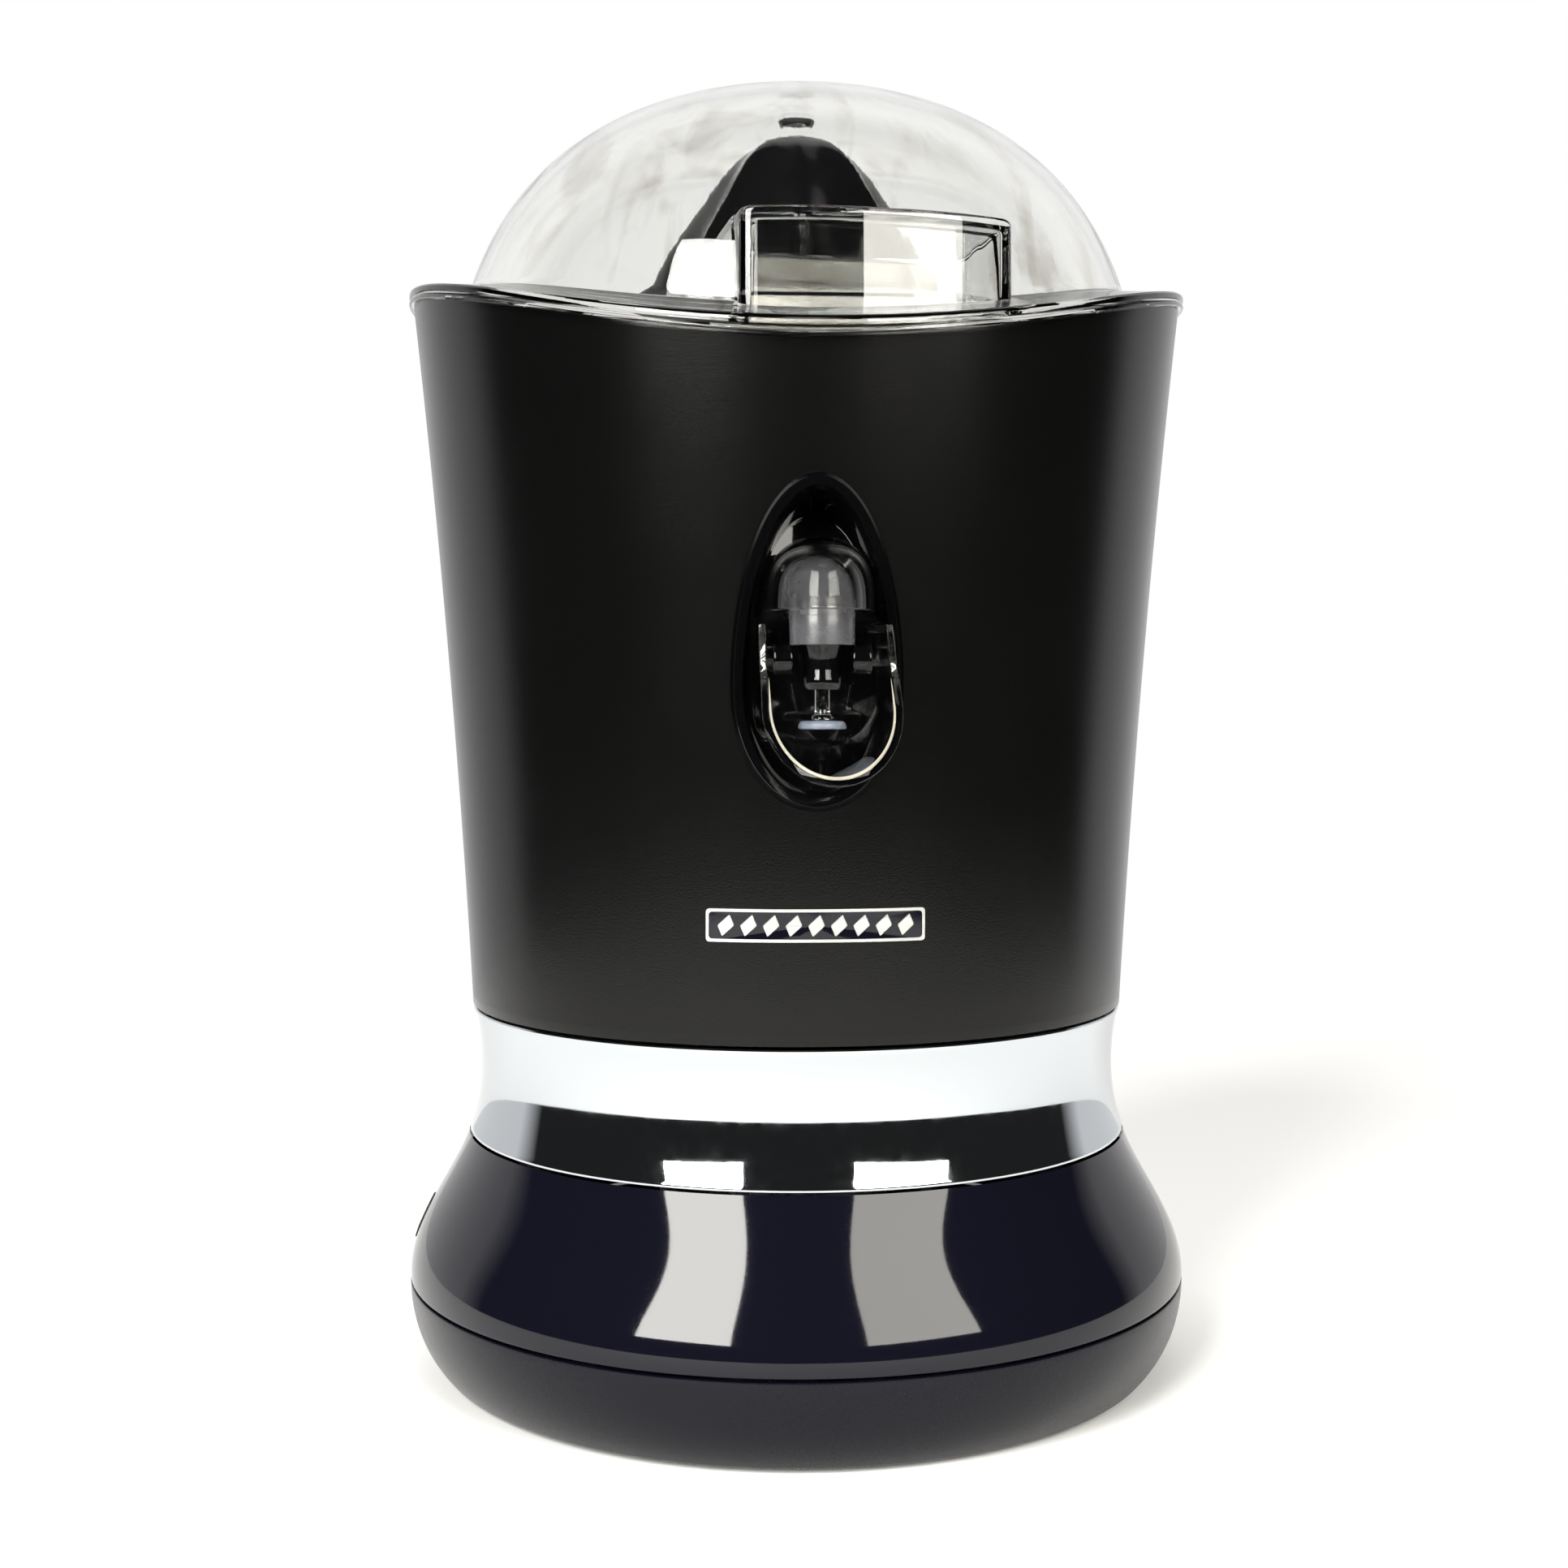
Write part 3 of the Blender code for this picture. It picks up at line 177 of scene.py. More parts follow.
def finish_piece(name, points, quads, material, smooth=35):
    """Object from points and quads, with the doubled points of poles and seams merged."""
    mesh = bpy.data.meshes.new(name)
    mesh.from_pydata(points.tolist(), [], quads.tolist())
    work = bmesh.new()
    work.from_mesh(mesh)
    bmesh.ops.remove_doubles(work, verts=work.verts, dist=1e-7)
    bmesh.ops.dissolve_degenerate(work, edges=work.edges, dist=1e-8)
    work.to_mesh(mesh)
    work.free()
    return shaded(name, mesh, material, smooth)


def arc_points(start, corner, end, count=6):
    """Points of a curve from start to end that leaves and arrives along the lines to the corner."""
    t = np.linspace(0, 1, count)[:, None]
    start, corner, end = (np.asarray(p, float) for p in (start, corner, end))
    return (1 - t) ** 2 * start + 2 * t * (1 - t) * corner + t ** 2 * end


def rounded(corners, radius, count=5, closed=True):
    """An outline with each corner replaced by a small curve. A radius is one number or one per corner."""
    corners = np.asarray(corners, float)
    radii = np.broadcast_to(radius, len(corners))
    points = []
    for i, corner in enumerate(corners):
        if not closed and i in (0, len(corners) - 1):
            points.append(corner[None])
            continue
        before = corners[i - 1] - corner
        after = corners[(i + 1) % len(corners)] - corner
        reach = min(radii[i], 0.45 * np.hypot(*before), 0.45 * np.hypot(*after))
        start = corner + before / np.hypot(*before) * reach
        end = corner + after / np.hypot(*after) * reach
        points.append(arc_points(start, corner, end, count) if reach > 0 else corner[None])
    return np.concatenate(points)


def bezier(p0, p1, p2, p3, count):
    """Points along a cubic curve."""
    t = np.linspace(0, 1, count)[:, None]
    p0, p1, p2, p3 = (np.asarray(p, float) for p in (p0, p1, p2, p3))
    return (1 - t) ** 3 * p0 + 3 * t * (1 - t) ** 2 * p1 + 3 * t ** 2 * (1 - t) * p2 + t ** 3 * p3


def turned(name, profile, material, steps=192, closed=True):
    """A profile of (radius, z) points turned about Z: x = r cos a, y = r sin a."""
    angle = np.linspace(0, math.tau, steps, endpoint=False)
    radius, height = np.asarray(profile, float).T
    grid = np.stack([
        radius[:, None] * np.cos(angle), radius[:, None] * np.sin(angle),
        np.repeat(height[:, None], steps, axis=1),
    ], axis=-1)
    return grid_piece(name, grid, material, closed=closed)


def fit_to(piece, body, slot, *replaced):
    """Let a piece ride on a body and stand for CAD nodes, which it hides. The slot is not used."""
    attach(piece, body)
    if replaced:
        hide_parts(*replaced)


def carve(piece, tools, operation="DIFFERENCE"):
    """Cut or join a finished mesh with others, which are used up."""
    for tool in tools:
        step = piece.modifiers.new("carve", "BOOLEAN")
        step.operation = operation
        step.solver = "MANIFOLD"
        step.object = tool
    shapes = bpy.context.evaluated_depsgraph_get()
    mesh = bpy.data.meshes.new_from_object(piece.evaluated_get(shapes))
    piece.modifiers.clear()
    piece.data = mesh
    mesh.shade_smooth()
    mesh.set_sharp_from_angle(angle=math.radians(30))
    for tool in tools:
        bpy.data.objects.remove(tool, do_unlink=True)


BASE_RADIUS = 0.0835
PARTING_Z = 0.0194
SEAM = 0.00025
TRAY_TOP_Z = PARTING_Z - SEAM
TRAY_LOW_Z = 0.001
TRAY_FLOOR_Z = 0.0042
tray_side = bezier(
    (BASE_RADIUS, TRAY_TOP_Z), (BASE_RADIUS, 0.0132), (0.0817, 0.0062), (0.0765, TRAY_LOW_Z), 24
)
tray_profile = np.concatenate([
    [(0, TRAY_FLOOR_Z), (0.073, TRAY_FLOOR_Z)],
    arc_points((0.076, 0.0048), (0.0795, 0.006), (0.0805, 0.011)), [(0.0808, TRAY_TOP_Z)],
    arc_points(
        (BASE_RADIUS - 0.0004, TRAY_TOP_Z), (BASE_RADIUS, TRAY_TOP_Z), (BASE_RADIUS, TRAY_TOP_Z - 0.0004), 4
    ),
    tray_side[2:-1],
    arc_points(tray_side[-1] + (0.0004, 0.0004), tray_side[-1], tray_side[-1] - (0.0012, 0)),
    [(0, TRAY_LOW_Z)],
])
tray = turned("base_tray_shell", tray_profile, TRAY_ABS, closed=False)


def rod(name, start, end, radius, material=None):
    """A plain cylinder between two points."""
    start = Vector(start)
    along = Vector(end) - start
    work = bmesh.new()
    bmesh.ops.create_cone(
        work, cap_ends=True, segments=48, radius1=radius, radius2=radius, depth=along.length
    )
    turn = along.to_track_quat("Z", "Y").to_matrix().to_4x4()
    bmesh.ops.transform(work, matrix=Matrix.Translation(start + along / 2) @ turn, verts=work.verts)
    mesh = bpy.data.meshes.new(name)
    work.to_mesh(mesh)
    work.free()
    return shaded(name, mesh, material)


def middle(node):
    """Centre of a CAD node's box."""
    low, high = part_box(node)
    return (Vector(low) + Vector(high)) / 2


recesses = []
for kind, radius, top_z in (("foot", 0.0068, 0.0024), ("base_screw", 0.0033, 0.0028)):
    for i in range(1, 5):
        fixing = middle(f"{kind}_{i}")
        recesses.append(rod("recess", (fixing.x, fixing.y, -0.001), (fixing.x, fixing.y, top_z), radius))
carve(tray, recesses)
fit_to(tray, "housing", "satin_black", "base_tray")

# ---- feet and base screws ----
# Four discs of moulded rubber with a softened edge, pressed into recesses of the tray. The steel screws
# that hold the base together are sunk beside them.


def rubber_finish(name, colour):
    """Moulded rubber: dull, with a faint dusty mottling."""
    material, tree, shader, place = begin(name, Base_Color=linear(colour), IOR=1.52, Roughness=0.7)
    dust = add(tree, "ShaderNodeTexNoise", [(place, "Object", "Vector")], Scale=900.0, Detail=5.0)
    roughness_from(tree, shader, dust, "Fac", 0.6, 0.85)
    bump_from(tree, shader, dust, "Fac", 0.00002)
    return material


def move(piece, x, y):
    """Shift a piece's mesh over the worktop, its object staying at the origin."""
    piece.data.transform(Matrix.Translation((x, y, 0)))


RUBBER = rubber_finish("moulded_rubber", "#161616")
pad_profile = rounded([(0, 0.0021), (0.0063, 0.0021), (0.0065, 0.0), (0, 0.0)], 0.0005, closed=False)
for i in range(1, 5):
    foot = middle(f"foot_{i}")
    pad = turned(f"foot_pad_{i}", pad_profile, RUBBER, 64, closed=False)
    move(pad, foot.x, foot.y)
    fit_to(pad, "housing", "rubber", f"foot_{i}")

# ---- base cover ----
# Bell-shaped cover between tray and waist ring: black ABS polished to a mirror in the mould, its foot
# upright where it meets the tray.


def polished_abs(name, colour, low=0.03, high=0.07, ior=1.40):
    """Mould-polished ABS: near-mirror gloss with faint sink waves and hair-fine dust marks."""
    material, tree, shader, place = begin(name, Base_Color=linear(colour), IOR=ior)
    waves = add(tree, "ShaderNodeTexNoise", [(place, "Object", "Vector")], Scale=30.0, Detail=1.0)
    specks = add(tree, "ShaderNodeTexNoise", [(place, "Object", "Vector")], Scale=2600.0, Detail=2.0)
    roughness_from(tree, shader, specks, "Fac", low, high)
    bump_from(tree, shader, waves, "Fac", 0.00009, 0.7)
    return material


POLISHED_ABS = polished_abs("polished_black_abs", "#090912")
RING_LOW_Z = 0.050
RING_LOW_RADIUS = 0.0711
COVER_WALL = 0.0024
GLAND_GAP = 0.0002
foot_z = PARTING_Z + SEAM
bell = bezier(
    (RING_LOW_RADIUS, RING_LOW_Z - SEAM), (0.0744, 0.0397), (BASE_RADIUS, 0.0305),
    (BASE_RADIUS, foot_z + 0.0006), 56,
)
cover_profile = np.concatenate([
    bell,
    arc_points((BASE_RADIUS, foot_z + 0.0005), (BASE_RADIUS, foot_z), (BASE_RADIUS - 0.0005, foot_z), 4),
    [(BASE_RADIUS - COVER_WALL, foot_z)], bell[::-4] - (COVER_WALL, 0.0),
])
cover = turned("base_bell", cover_profile, POLISHED_ABS, 256)
gland_low, gland_high = (np.array(corner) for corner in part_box("cord_gland"))
gland_z = (gland_low[2] + gland_high[2]) / 2
gland_radius = (gland_high[1] - gland_low[1]) / 2
carve(cover, [rod("hole", (-0.06, 0, gland_z), (-0.09, 0, gland_z), gland_radius + GLAND_GAP)])
fit_to(cover, "housing", "gloss_black", "base_cover")

# ---- cord gland ----
# Black rubber bush pressed into the side of the cover, where a mains lead would leave it. Its face
# follows the cover.
GLAND_PROUD = 0.0003
GLAND_BORE_RADIUS = 0.0032
gland = rod("gland_bush", (-0.070, 0, gland_z), (-0.09, 0, gland_z), gland_radius, RUBBER)
skin_profile = np.concatenate([[(0, bell[0, 1])], bell + (GLAND_PROUD, 0), [(0, bell[-1, 1])]])
carve(gland, [turned("skin", skin_profile, None, closed=False)], "INTERSECT")
carve(gland, [rod("bore", (-0.06, 0, gland_z), (-0.10, 0, gland_z), GLAND_BORE_RADIUS)])
fit_to(gland, "housing", "rubber", "cord_gland")

# ---- waist ring ----
# Waisted trim ring: ABS plated with bright chromium, clipped between cover and body.


def bright_chromium(name):
    """Chromium plate: a cool mirror with very slight orange peel."""
    material, tree, shader, place = begin(name, Base_Color=linear("#c2c6ca"), Metallic=1.0, Roughness=0.03)
    peel = add(tree, "ShaderNodeTexNoise", [(place, "Object", "Vector")], Scale=60.0, Detail=2.0)
    smear = add(tree, "ShaderNodeTexNoise", [(place, "Object", "Vector")], Scale=400.0, Detail=4.0)
    roughness_from(tree, shader, smear, "Fac", 0.02, 0.06)
    bump_from(tree, shader, peel, "Fac", 0.00004, 0.5)
    return material


CHROMIUM = bright_chromium("bright_chromium_plate")
RING_TOP_Z = 0.077
RING_TOP_RADIUS = 0.0703
RING_EDGE = 0.0004
RING_WALL = 0.002
ring_side = bezier(
    (RING_TOP_RADIUS, RING_TOP_Z - SEAM), (0.0682, 0.0687), (0.0679, 0.0585),
    (RING_LOW_RADIUS, RING_LOW_Z + SEAM), 48,
)
ring_profile = np.concatenate([
    arc_points(ring_side[0] - (RING_EDGE, 0), ring_side[0], ring_side[2], 4), ring_side[3:-3],
    arc_points(ring_side[-3], ring_side[-1], ring_side[-1] - (RING_EDGE, 0), 5),
    ring_side[::-6] - (RING_WALL, 0),
])
ring = turned("waist_trim", ring_profile, CHROMIUM, 256)
fit_to(ring, "housing", "chrome", "waist_ring")

# ---- body shell ----
# Flared body moulded in satin black ABS and clipped down over the ring. Its rim is cut like a saddle,
# low at the front and back, and its front has a tall egg-shaped opening for the spout.
BODY_LOW_Z = RING_TOP_Z + SEAM
RIM_SIDE_Z = 0.2257
RIM_DIP = 0.018
BODY_WALL = 0.0022
FLARE, FLARE_GROWTH = 0.05726, 0.18329


def body_radius(z):
    """Outer radius at height z: the ring's, then growing with the height and with its square."""
    rise = z - RING_TOP_Z
    return RING_TOP_RADIUS + FLARE * rise + FLARE_GROWTH * rise * rise


SADDLE_RADIUS = (body_radius(RIM_SIDE_Z) ** 2 + RIM_DIP ** 2) / (2 * RIM_DIP)
SADDLE_CENTRE_Z = RIM_SIDE_Z - SADDLE_RADIUS


def saddle_z(y, lift=0.0):
    """Height of the saddle surface, a cylinder lying along X, raised by lift."""
    return SADDLE_CENTRE_Z + np.sqrt((SADDLE_RADIUS + lift) ** 2 - y ** 2)


EGG_TOP_Z, EGG_WIDE_Z, EGG_LOW_Z = 0.1828, 0.144, 0.122
EGG_HALF = 0.0154


def egg(angle, grow=0.0):
    """Opening outline (x, z) in the direction of an angle: two half ellipses that share their width."""
    tall = np.where(np.sin(angle) > 0, EGG_TOP_Z - EGG_WIDE_Z, EGG_WIDE_Z - EGG_LOW_Z) + grow
    half = EGG_HALF + grow
    reach = 1 / np.hypot(np.cos(angle) / half, np.sin(angle) / tall)
    return np.stack([reach * np.cos(angle), EGG_WIDE_Z + reach * np.sin(angle)], axis=-1)


def on_body(x, z, inset=0.0):
    """Points of the body's front surface at the given x and z, moved inwards by inset."""
    radius = body_radius(z) - inset
    return np.stack([x, -np.sqrt(radius ** 2 - x ** 2), z], axis=-1)


def thicken(piece, wall):
    """Give a surface a wall that grows inwards."""
    thick = piece.modifiers.new("wall", "SOLIDIFY")
    thick.thickness = wall
    thick.offset = -1


def round_edges(piece, segments):
    """Round the hard edges by half a millimetre."""
    soft = piece.modifiers.new("edges", "BEVEL")
    soft.width = 0.0005
    soft.segments = segments
    soft.limit_method = "ANGLE"
    soft.angle_limit = math.radians(50)


COLUMNS = 256
LOW_ROWS = 60
RIM_ROWS = 12
STRAIGHT_TOP_Z = 0.197
PATCH_TOP_Z, PATCH_LOW_Z = 0.1895, 0.1155
PATCH_HALF_COLUMNS = 13
OPENING_EDGE = 0.0007
turn = np.linspace(0, math.tau, COLUMNS, endpoint=False)
rim_z = saddle_z(body_radius(RIM_SIDE_Z - RIM_DIP * np.sin(turn) ** 2) * np.sin(turn))
low_z = np.linspace(BODY_LOW_Z, STRAIGHT_TOP_Z, LOW_ROWS)[:, None] + 0 * turn
share = np.linspace(0, 1, RIM_ROWS + 1)[1:, None]
high_z = STRAIGHT_TOP_Z + share * (rim_z - STRAIGHT_TOP_Z)
z = np.concatenate([low_z, high_z])[::-1]
shell_grid = np.stack([body_radius(z) * np.cos(turn), body_radius(z) * np.sin(turn), z], axis=-1)
index = np.arange(z.size).reshape(z.shape)
index = np.concatenate([index, index[:, :1]], axis=1)
front_column = int(COLUMNS * 0.75)
left, right = front_column - PATCH_HALF_COLUMNS, front_column + PATCH_HALF_COLUMNS
top = int(np.argmin(abs(z[:, 0] - PATCH_TOP_Z)))
bottom = int(np.argmin(abs(z[:, 0] - PATCH_LOW_Z)))
keep = np.ones((z.shape[0] - 1, COLUMNS), bool)
keep[top:bottom, left:right] = False
quads = quads_between(index)[keep]
border = np.concatenate([
    index[top, left:right], index[top:bottom, right],
    index[bottom, right:left:-1], index[bottom:top:-1, left],
])
border_points = shell_grid.reshape(-1, 3)[border]
direction = np.arctan2(border_points[:, 2] - EGG_WIDE_Z, border_points[:, 0])
rings = []
for step in np.linspace(1, 0, 11)[1:]:
    flat = egg(direction, OPENING_EDGE) * (1 - step ** 1.3) + border_points[:, [0, 2]] * step ** 1.3
    rings.append(on_body(flat[:, 0], flat[:, 1]))
for step in np.linspace(0, math.pi / 2, 6)[1:]:
    flat = egg(direction, OPENING_EDGE * (1 - math.sin(step)))
    rings.append(on_body(flat[:, 0], flat[:, 1], OPENING_EDGE * (1 - math.cos(step))))
flat = egg(direction)
rings.append(on_body(flat[:, 0], flat[:, 1], BODY_WALL))
count = len(border)
patch_index = z.size + np.arange(len(rings) * count).reshape(-1, count)
patch_index = np.concatenate([border[None], patch_index])
patch_index = np.concatenate([patch_index, patch_index[:, :1]], axis=1)
patch = quads_between(patch_index).reshape(-1, 4)
casing_points = np.concatenate([shell_grid.reshape(-1, 3)] + rings)
shell = finish_piece("body_casing", casing_points, np.concatenate([quads, patch]), SATIN_ABS)
thicken(shell, BODY_WALL)
round_edges(shell, 3)
fit_to(shell, "housing", "satin_black", "body_shell")

# ---- spout pocket ----
# Cup of mirror-gloss ABS set in the opening behind the spout. Its back is a shallow trough stood on
# end, hollowed towards its top, and its roof falls towards the back.
POCKET_RIM = (
    (-0.0003, 0.0006), (-0.0006, 0.0002), (-0.0011, 0.0003), (-0.0015, 0.0009), (-0.0016, 0.0018),
)
POCKET_BACK_Y = -0.0612
POCKET_TOP_Z = 0.180
HOLLOW, HOLLOW_FALL = 0.0014, 0.010
UNDERCUT, UNDERCUT_FROM = 0.03, 0.02
TROUGH_HALF, TROUGH_DEPTH = 0.0156, 0.0066
ROOF_FALL, ROOF_FRONT_Y, ROOF_REACH = 0.10, -0.078, 0.017
POCKET_WALL = 0.0011
climb = np.linspace(-math.pi / 2, math.pi / 2, 91)
side = []
for grow, inset in POCKET_RIM:
    flat = egg(climb, grow)
    side.append(on_body(np.clip(flat[:, 0], 0, None), flat[:, 1], inset))
edge_row = side[-1]
width, height = edge_row[:, 0], edge_row[:, 2]
below = POCKET_TOP_Z - height
back_y = POCKET_BACK_Y - HOLLOW * (1 - np.exp(-below / HOLLOW_FALL))
back_y += UNDERCUT * np.clip(below - UNDERCUT_FROM, 0, None)


def trough(across):
    """Depth of the trough's wall at a distance from its middle: a shallow half ellipse."""
    return back_y - TROUGH_DEPTH * (1 - np.sqrt(np.clip(1 - (across / TROUGH_HALF) ** 2, 0, 1)))


def fallen(depth):
    """Heights of the pocket's outline at a depth: the roof comes down in proportion as it goes back."""
    share = np.clip((depth - ROOF_FRONT_Y) / ROOF_REACH, 0, 1)
    return height - ROOF_FALL * np.clip(height - EGG_WIDE_Z, 0, None) * share


for share in np.linspace(0, 1, 9)[1:]:
    depth = edge_row[:, 1] + (trough(width) - edge_row[:, 1]) * share
    side.append(np.stack([width, depth, fallen(depth)], axis=-1))
for bend in np.linspace(0, math.pi / 2, 26)[1:]:
    across = width * math.cos(bend)
    side.append(np.stack([across, trough(across), fallen(trough(across))], axis=-1))
side = np.array(side)
other = side[-2::-1] * (-1, 1, 1)
JET_ABS = polished_abs("polished_jet_abs", "#040405")
pocket = grid_piece("pocket_cup", np.concatenate([side, other]), JET_ABS, around=False, smooth=38)
thicken(pocket, POCKET_WALL)
fit_to(pocket, "housing", "gloss_black", "spout_pocket")

# ---- badge ----
# Plate glued to the front and following the body: a field of gloss black ABS, with a raised border and
# a row of lozenges stamped in silver foil.


def satin_silver(name):
    """Stamped aluminium foil: fine brushing along its length."""
    material, tree, shader, place = begin(name, Base_Color=linear("#d4d4d2"), Metallic=1.0, Roughness=0.3)
    stretch = add(tree, "ShaderNodeMapping", [(place, "Object", "Vector")], Scale=(40, 40, 4000))
    brush = add(tree, "ShaderNodeTexNoise", [(stretch, "Vector", "Vector")], Scale=1.0, Detail=3.0)
    roughness_from(tree, shader, brush, "Fac", 0.32, 0.5)
    bump_from(tree, shader, brush, "Fac", 0.00001)
    return material


SILVER = satin_silver("satin_silver_foil")
BADGE_Z = 0.100
BADGE_HALF = (0.0205, 0.0031)
BADGE_CORNER = 0.0016
BORDER_WIDTH = 0.00055
FIELD_HEIGHT = 0.00028
FOIL_HEIGHT = 0.00052
LOZENGES = 9
LOZENGE_SPAN = 0.0168


def on_front(flat, height, name, material):
    """A stamped shape from an outline (across, up) round the badge's middle: it stands on the body and
    its edge is rounded."""
    flat = np.asarray(flat, float)
    hub = flat.mean(axis=0)
    away = flat - hub
    distance = np.hypot(*away.T)[:, None]
    outlines = [(hub + away * share, -0.0002) for share in (0.0, 0.33, 0.66)]
    for pull, lift in ((0.0, -0.0002), (0.0, height - 0.0001), (0.0001, height), (0.0003, height)):
        outlines.append((hub + away * (1 - pull / distance), lift))
    inmost = away * (1 - 0.0003 / distance)
    outlines += [(hub + inmost * share, height) for share in (0.66, 0.33, 0.0)]
    rows = [on_body(line[:, 0], BADGE_Z + line[:, 1], -lift) for line, lift in outlines]
    return grid_piece(name, np.array(rows[::-1]), material)


def plate_outline(half, corner):
    """Rounded rectangle with points along its long sides, so that it can follow the body."""
    across = np.linspace(-half[0], half[0], 25)
    low = np.stack([across, np.full(25, -half[1])], axis=-1)
    high = np.stack([across[::-1], np.full(25, half[1])], axis=-1)
    radii = np.full(50, 0.00001)
    radii[[0, 24, 25, 49]] = corner
    return rounded(np.concatenate([low, high]), radii, 6)


border_out = plate_outline(BADGE_HALF, BADGE_CORNER)
field = on_front(border_out, FIELD_HEIGHT, "badge_field", POLISHED_ABS)
fit_to(field, "housing", "gloss_black", "badge")
lozenge = rounded([(0.0016, 0.0), (0.0007, 0.0021), (-0.0016, 0.0), (-0.0007, -0.0021)], 0.0003)
for i, place_x in enumerate(np.linspace(-LOZENGE_SPAN, LOZENGE_SPAN, LOZENGES)):
    stamped = on_front(lozenge + (place_x, 0), FOIL_HEIGHT, f"badge_lozenge_{i + 1}", SILVER)
    fit_to(stamped, "housing", "badge_silver")
border_in = plate_outline((BADGE_HALF[0] - BORDER_WIDTH, BADGE_HALF[1] - BORDER_WIDTH), 0.0012)
border_steps = (
    (border_out, -0.0001), (border_out, FOIL_HEIGHT - 0.0001), (border_out * 0.998, FOIL_HEIGHT),
    (border_in, FOIL_HEIGHT), (border_in, -0.0001),
)
border_rows = [on_body(flat[:, 0], BADGE_Z + flat[:, 1], -lift) for flat, lift in border_steps]
border_foil = grid_piece("badge_border", np.array(border_rows[::-1]), SILVER, closed=True)
fit_to(border_foil, "housing", "badge_silver")

# ---- duct and nozzle ----
# Tube of smoked SAN that brings the juice from the bowl through the pocket's back. It ends in a small
# black bell over the spout, and a clear cowl covers its bend. Two pins in black bosses hold the spout.


def clear_moulding(name, tint, rough, ior):
    """Clear injection-moulded plastic: glass-like, very slightly grey, with faint flow lines."""
    material, tree, shader, place = begin(
        name, Base_Color=linear(tint), IOR=ior, Roughness=rough, Transmission_Weight=1.0
    )
    flow = add(tree, "ShaderNodeTexNoise", [(place, "Object", "Vector")], Scale=25.0, Detail=2.0)
    bump_from(tree, shader, flow, "Fac", 0.00005, 0.5)
    return material


def smoked_moulding(name, colour):
    """Smoked plastic with a slightly misted inner skin: part clear, part grey haze."""
    material, tree, shader, place = begin(
        name, Base_Color=linear(colour), IOR=1.5, Roughness=0.22, Transmission_Weight=0.45
    )
    mist = add(tree, "ShaderNodeTexNoise", [(place, "Object", "Vector")], Scale=350.0, Detail=4.0)
    roughness_from(tree, shader, mist, "Fac", 0.18, 0.3)
    return material


CLEAR = clear_moulding("clear_san", "#f1f0ed", 0.01, 1.5)
THIN_CLEAR = clear_moulding("thin_clear_san", "#ececea", 0.01, 1.24)
SMOKED = smoked_moulding("smoked_san", "#5a5a5e")
# Pale cream smoked moulding for the bead along the spout's lip: a painted highlight.
PAINTED_LIP_HIGHLIGHT = smoked_moulding("painted_highlight_san", "#b9b3a2")


def tube(name, path, radii, wall, material):
    """A hollow tube along a path in the YZ plane, its outer radius given at each point."""
    path = np.asarray(path, float)
    along = np.gradient(path, axis=0)
    along /= np.linalg.norm(along, axis=1)[:, None]
    across = np.stack([-along[:, 1], along[:, 0]], axis=-1)
    angle = np.linspace(0, math.tau, 64, endpoint=False)
    both = []
    for inset, order in ((0.0, 1), (wall, -1)):
        r = (np.asarray(radii) - inset)[:, None]
        part = np.stack([
            r * np.cos(angle), path[:, :1] + across[:, :1] * r * np.sin(angle),
            path[:, 1:] + across[:, 1:] * r * np.sin(angle),
        ], axis=-1)
        both.append(part[::order])
    return grid_piece(name, np.concatenate(both), material, closed=True)


pin_middle = middle("spout_pin_left")
NOZZLE_Y, PIN_Z = pin_middle.y, pin_middle.z
DRAIN_Y = -0.050
DUCT_SOCKET = 0.0098
DUCT_FRONT = 0.0058
DUCT_WALL = 0.0013
NOZZLE_WALL = 0.0008
duct_line = np.concatenate([
    [(DRAIN_Y, 0.1842), (DRAIN_Y, 0.178)],
    bezier((DRAIN_Y, 0.1755), (DRAIN_Y, 0.166), (-0.058, 0.1648), (-0.066, 0.1632), 12),
    bezier((-0.070, 0.1626), (-0.081, 0.1612), (NOZZLE_Y, 0.1615), (NOZZLE_Y, 0.1545), 14),
    [(NOZZLE_Y, 0.1515)],
])
duct_radii = np.concatenate([
    [DUCT_SOCKET, DUCT_SOCKET], np.linspace(0.0088, 0.0070, 12), np.linspace(0.0068, DUCT_FRONT, 14),
    [DUCT_FRONT],
])
duct = tube("juice_way", duct_line, duct_radii, DUCT_WALL, SMOKED)
fit_to(duct, "housing", "clear_plastic", "juice_duct")
bell_out = np.concatenate([
    bezier((DUCT_FRONT - 0.0014, 0.1535), (0.0042, 0.1505), (0.0030, 0.1495), (0.0033, 0.1466), 16),
    bezier((0.0034, 0.1462), (0.0037, 0.1452), (0.0037, 0.1447), (0.0030, 0.1436), 10)[1:],
])
bell_in = bell_out[::-1] - (NOZZLE_WALL, 0.0)
nozzle = turned("nozzle_bell", np.concatenate([bell_out, bell_in]), JET_ABS, 96)
move(nozzle, 0, NOZZLE_Y)
fit_to(nozzle, "housing", "gloss_black")
COWL_TOP_Z = 0.1714
COWL_LOW_Z = 0.1575
COWL_HALF = 0.0101
COWL_BACK_Y = -0.080
COWL_REACH = 0.0172
COWL_TAIL = 0.016
COWL_WALL = 0.0010
rise = np.sin(np.linspace(0, math.pi / 2, 40))[::-1, None]
swing = np.linspace(math.pi, math.tau, 65)
taper = np.clip(1 - rise ** 3.2, 0, 1) ** 0.5
cowl_grid = np.stack([
    COWL_HALF * taper * np.cos(swing), COWL_BACK_Y + COWL_REACH * taper * np.sin(swing),
    COWL_LOW_Z + (COWL_TOP_Z - COWL_LOW_Z) * rise + 0 * swing,
], axis=-1)
tails = [cowl_grid[:, [k]] + (0, COWL_TAIL, 0) for k in (0, -1)]
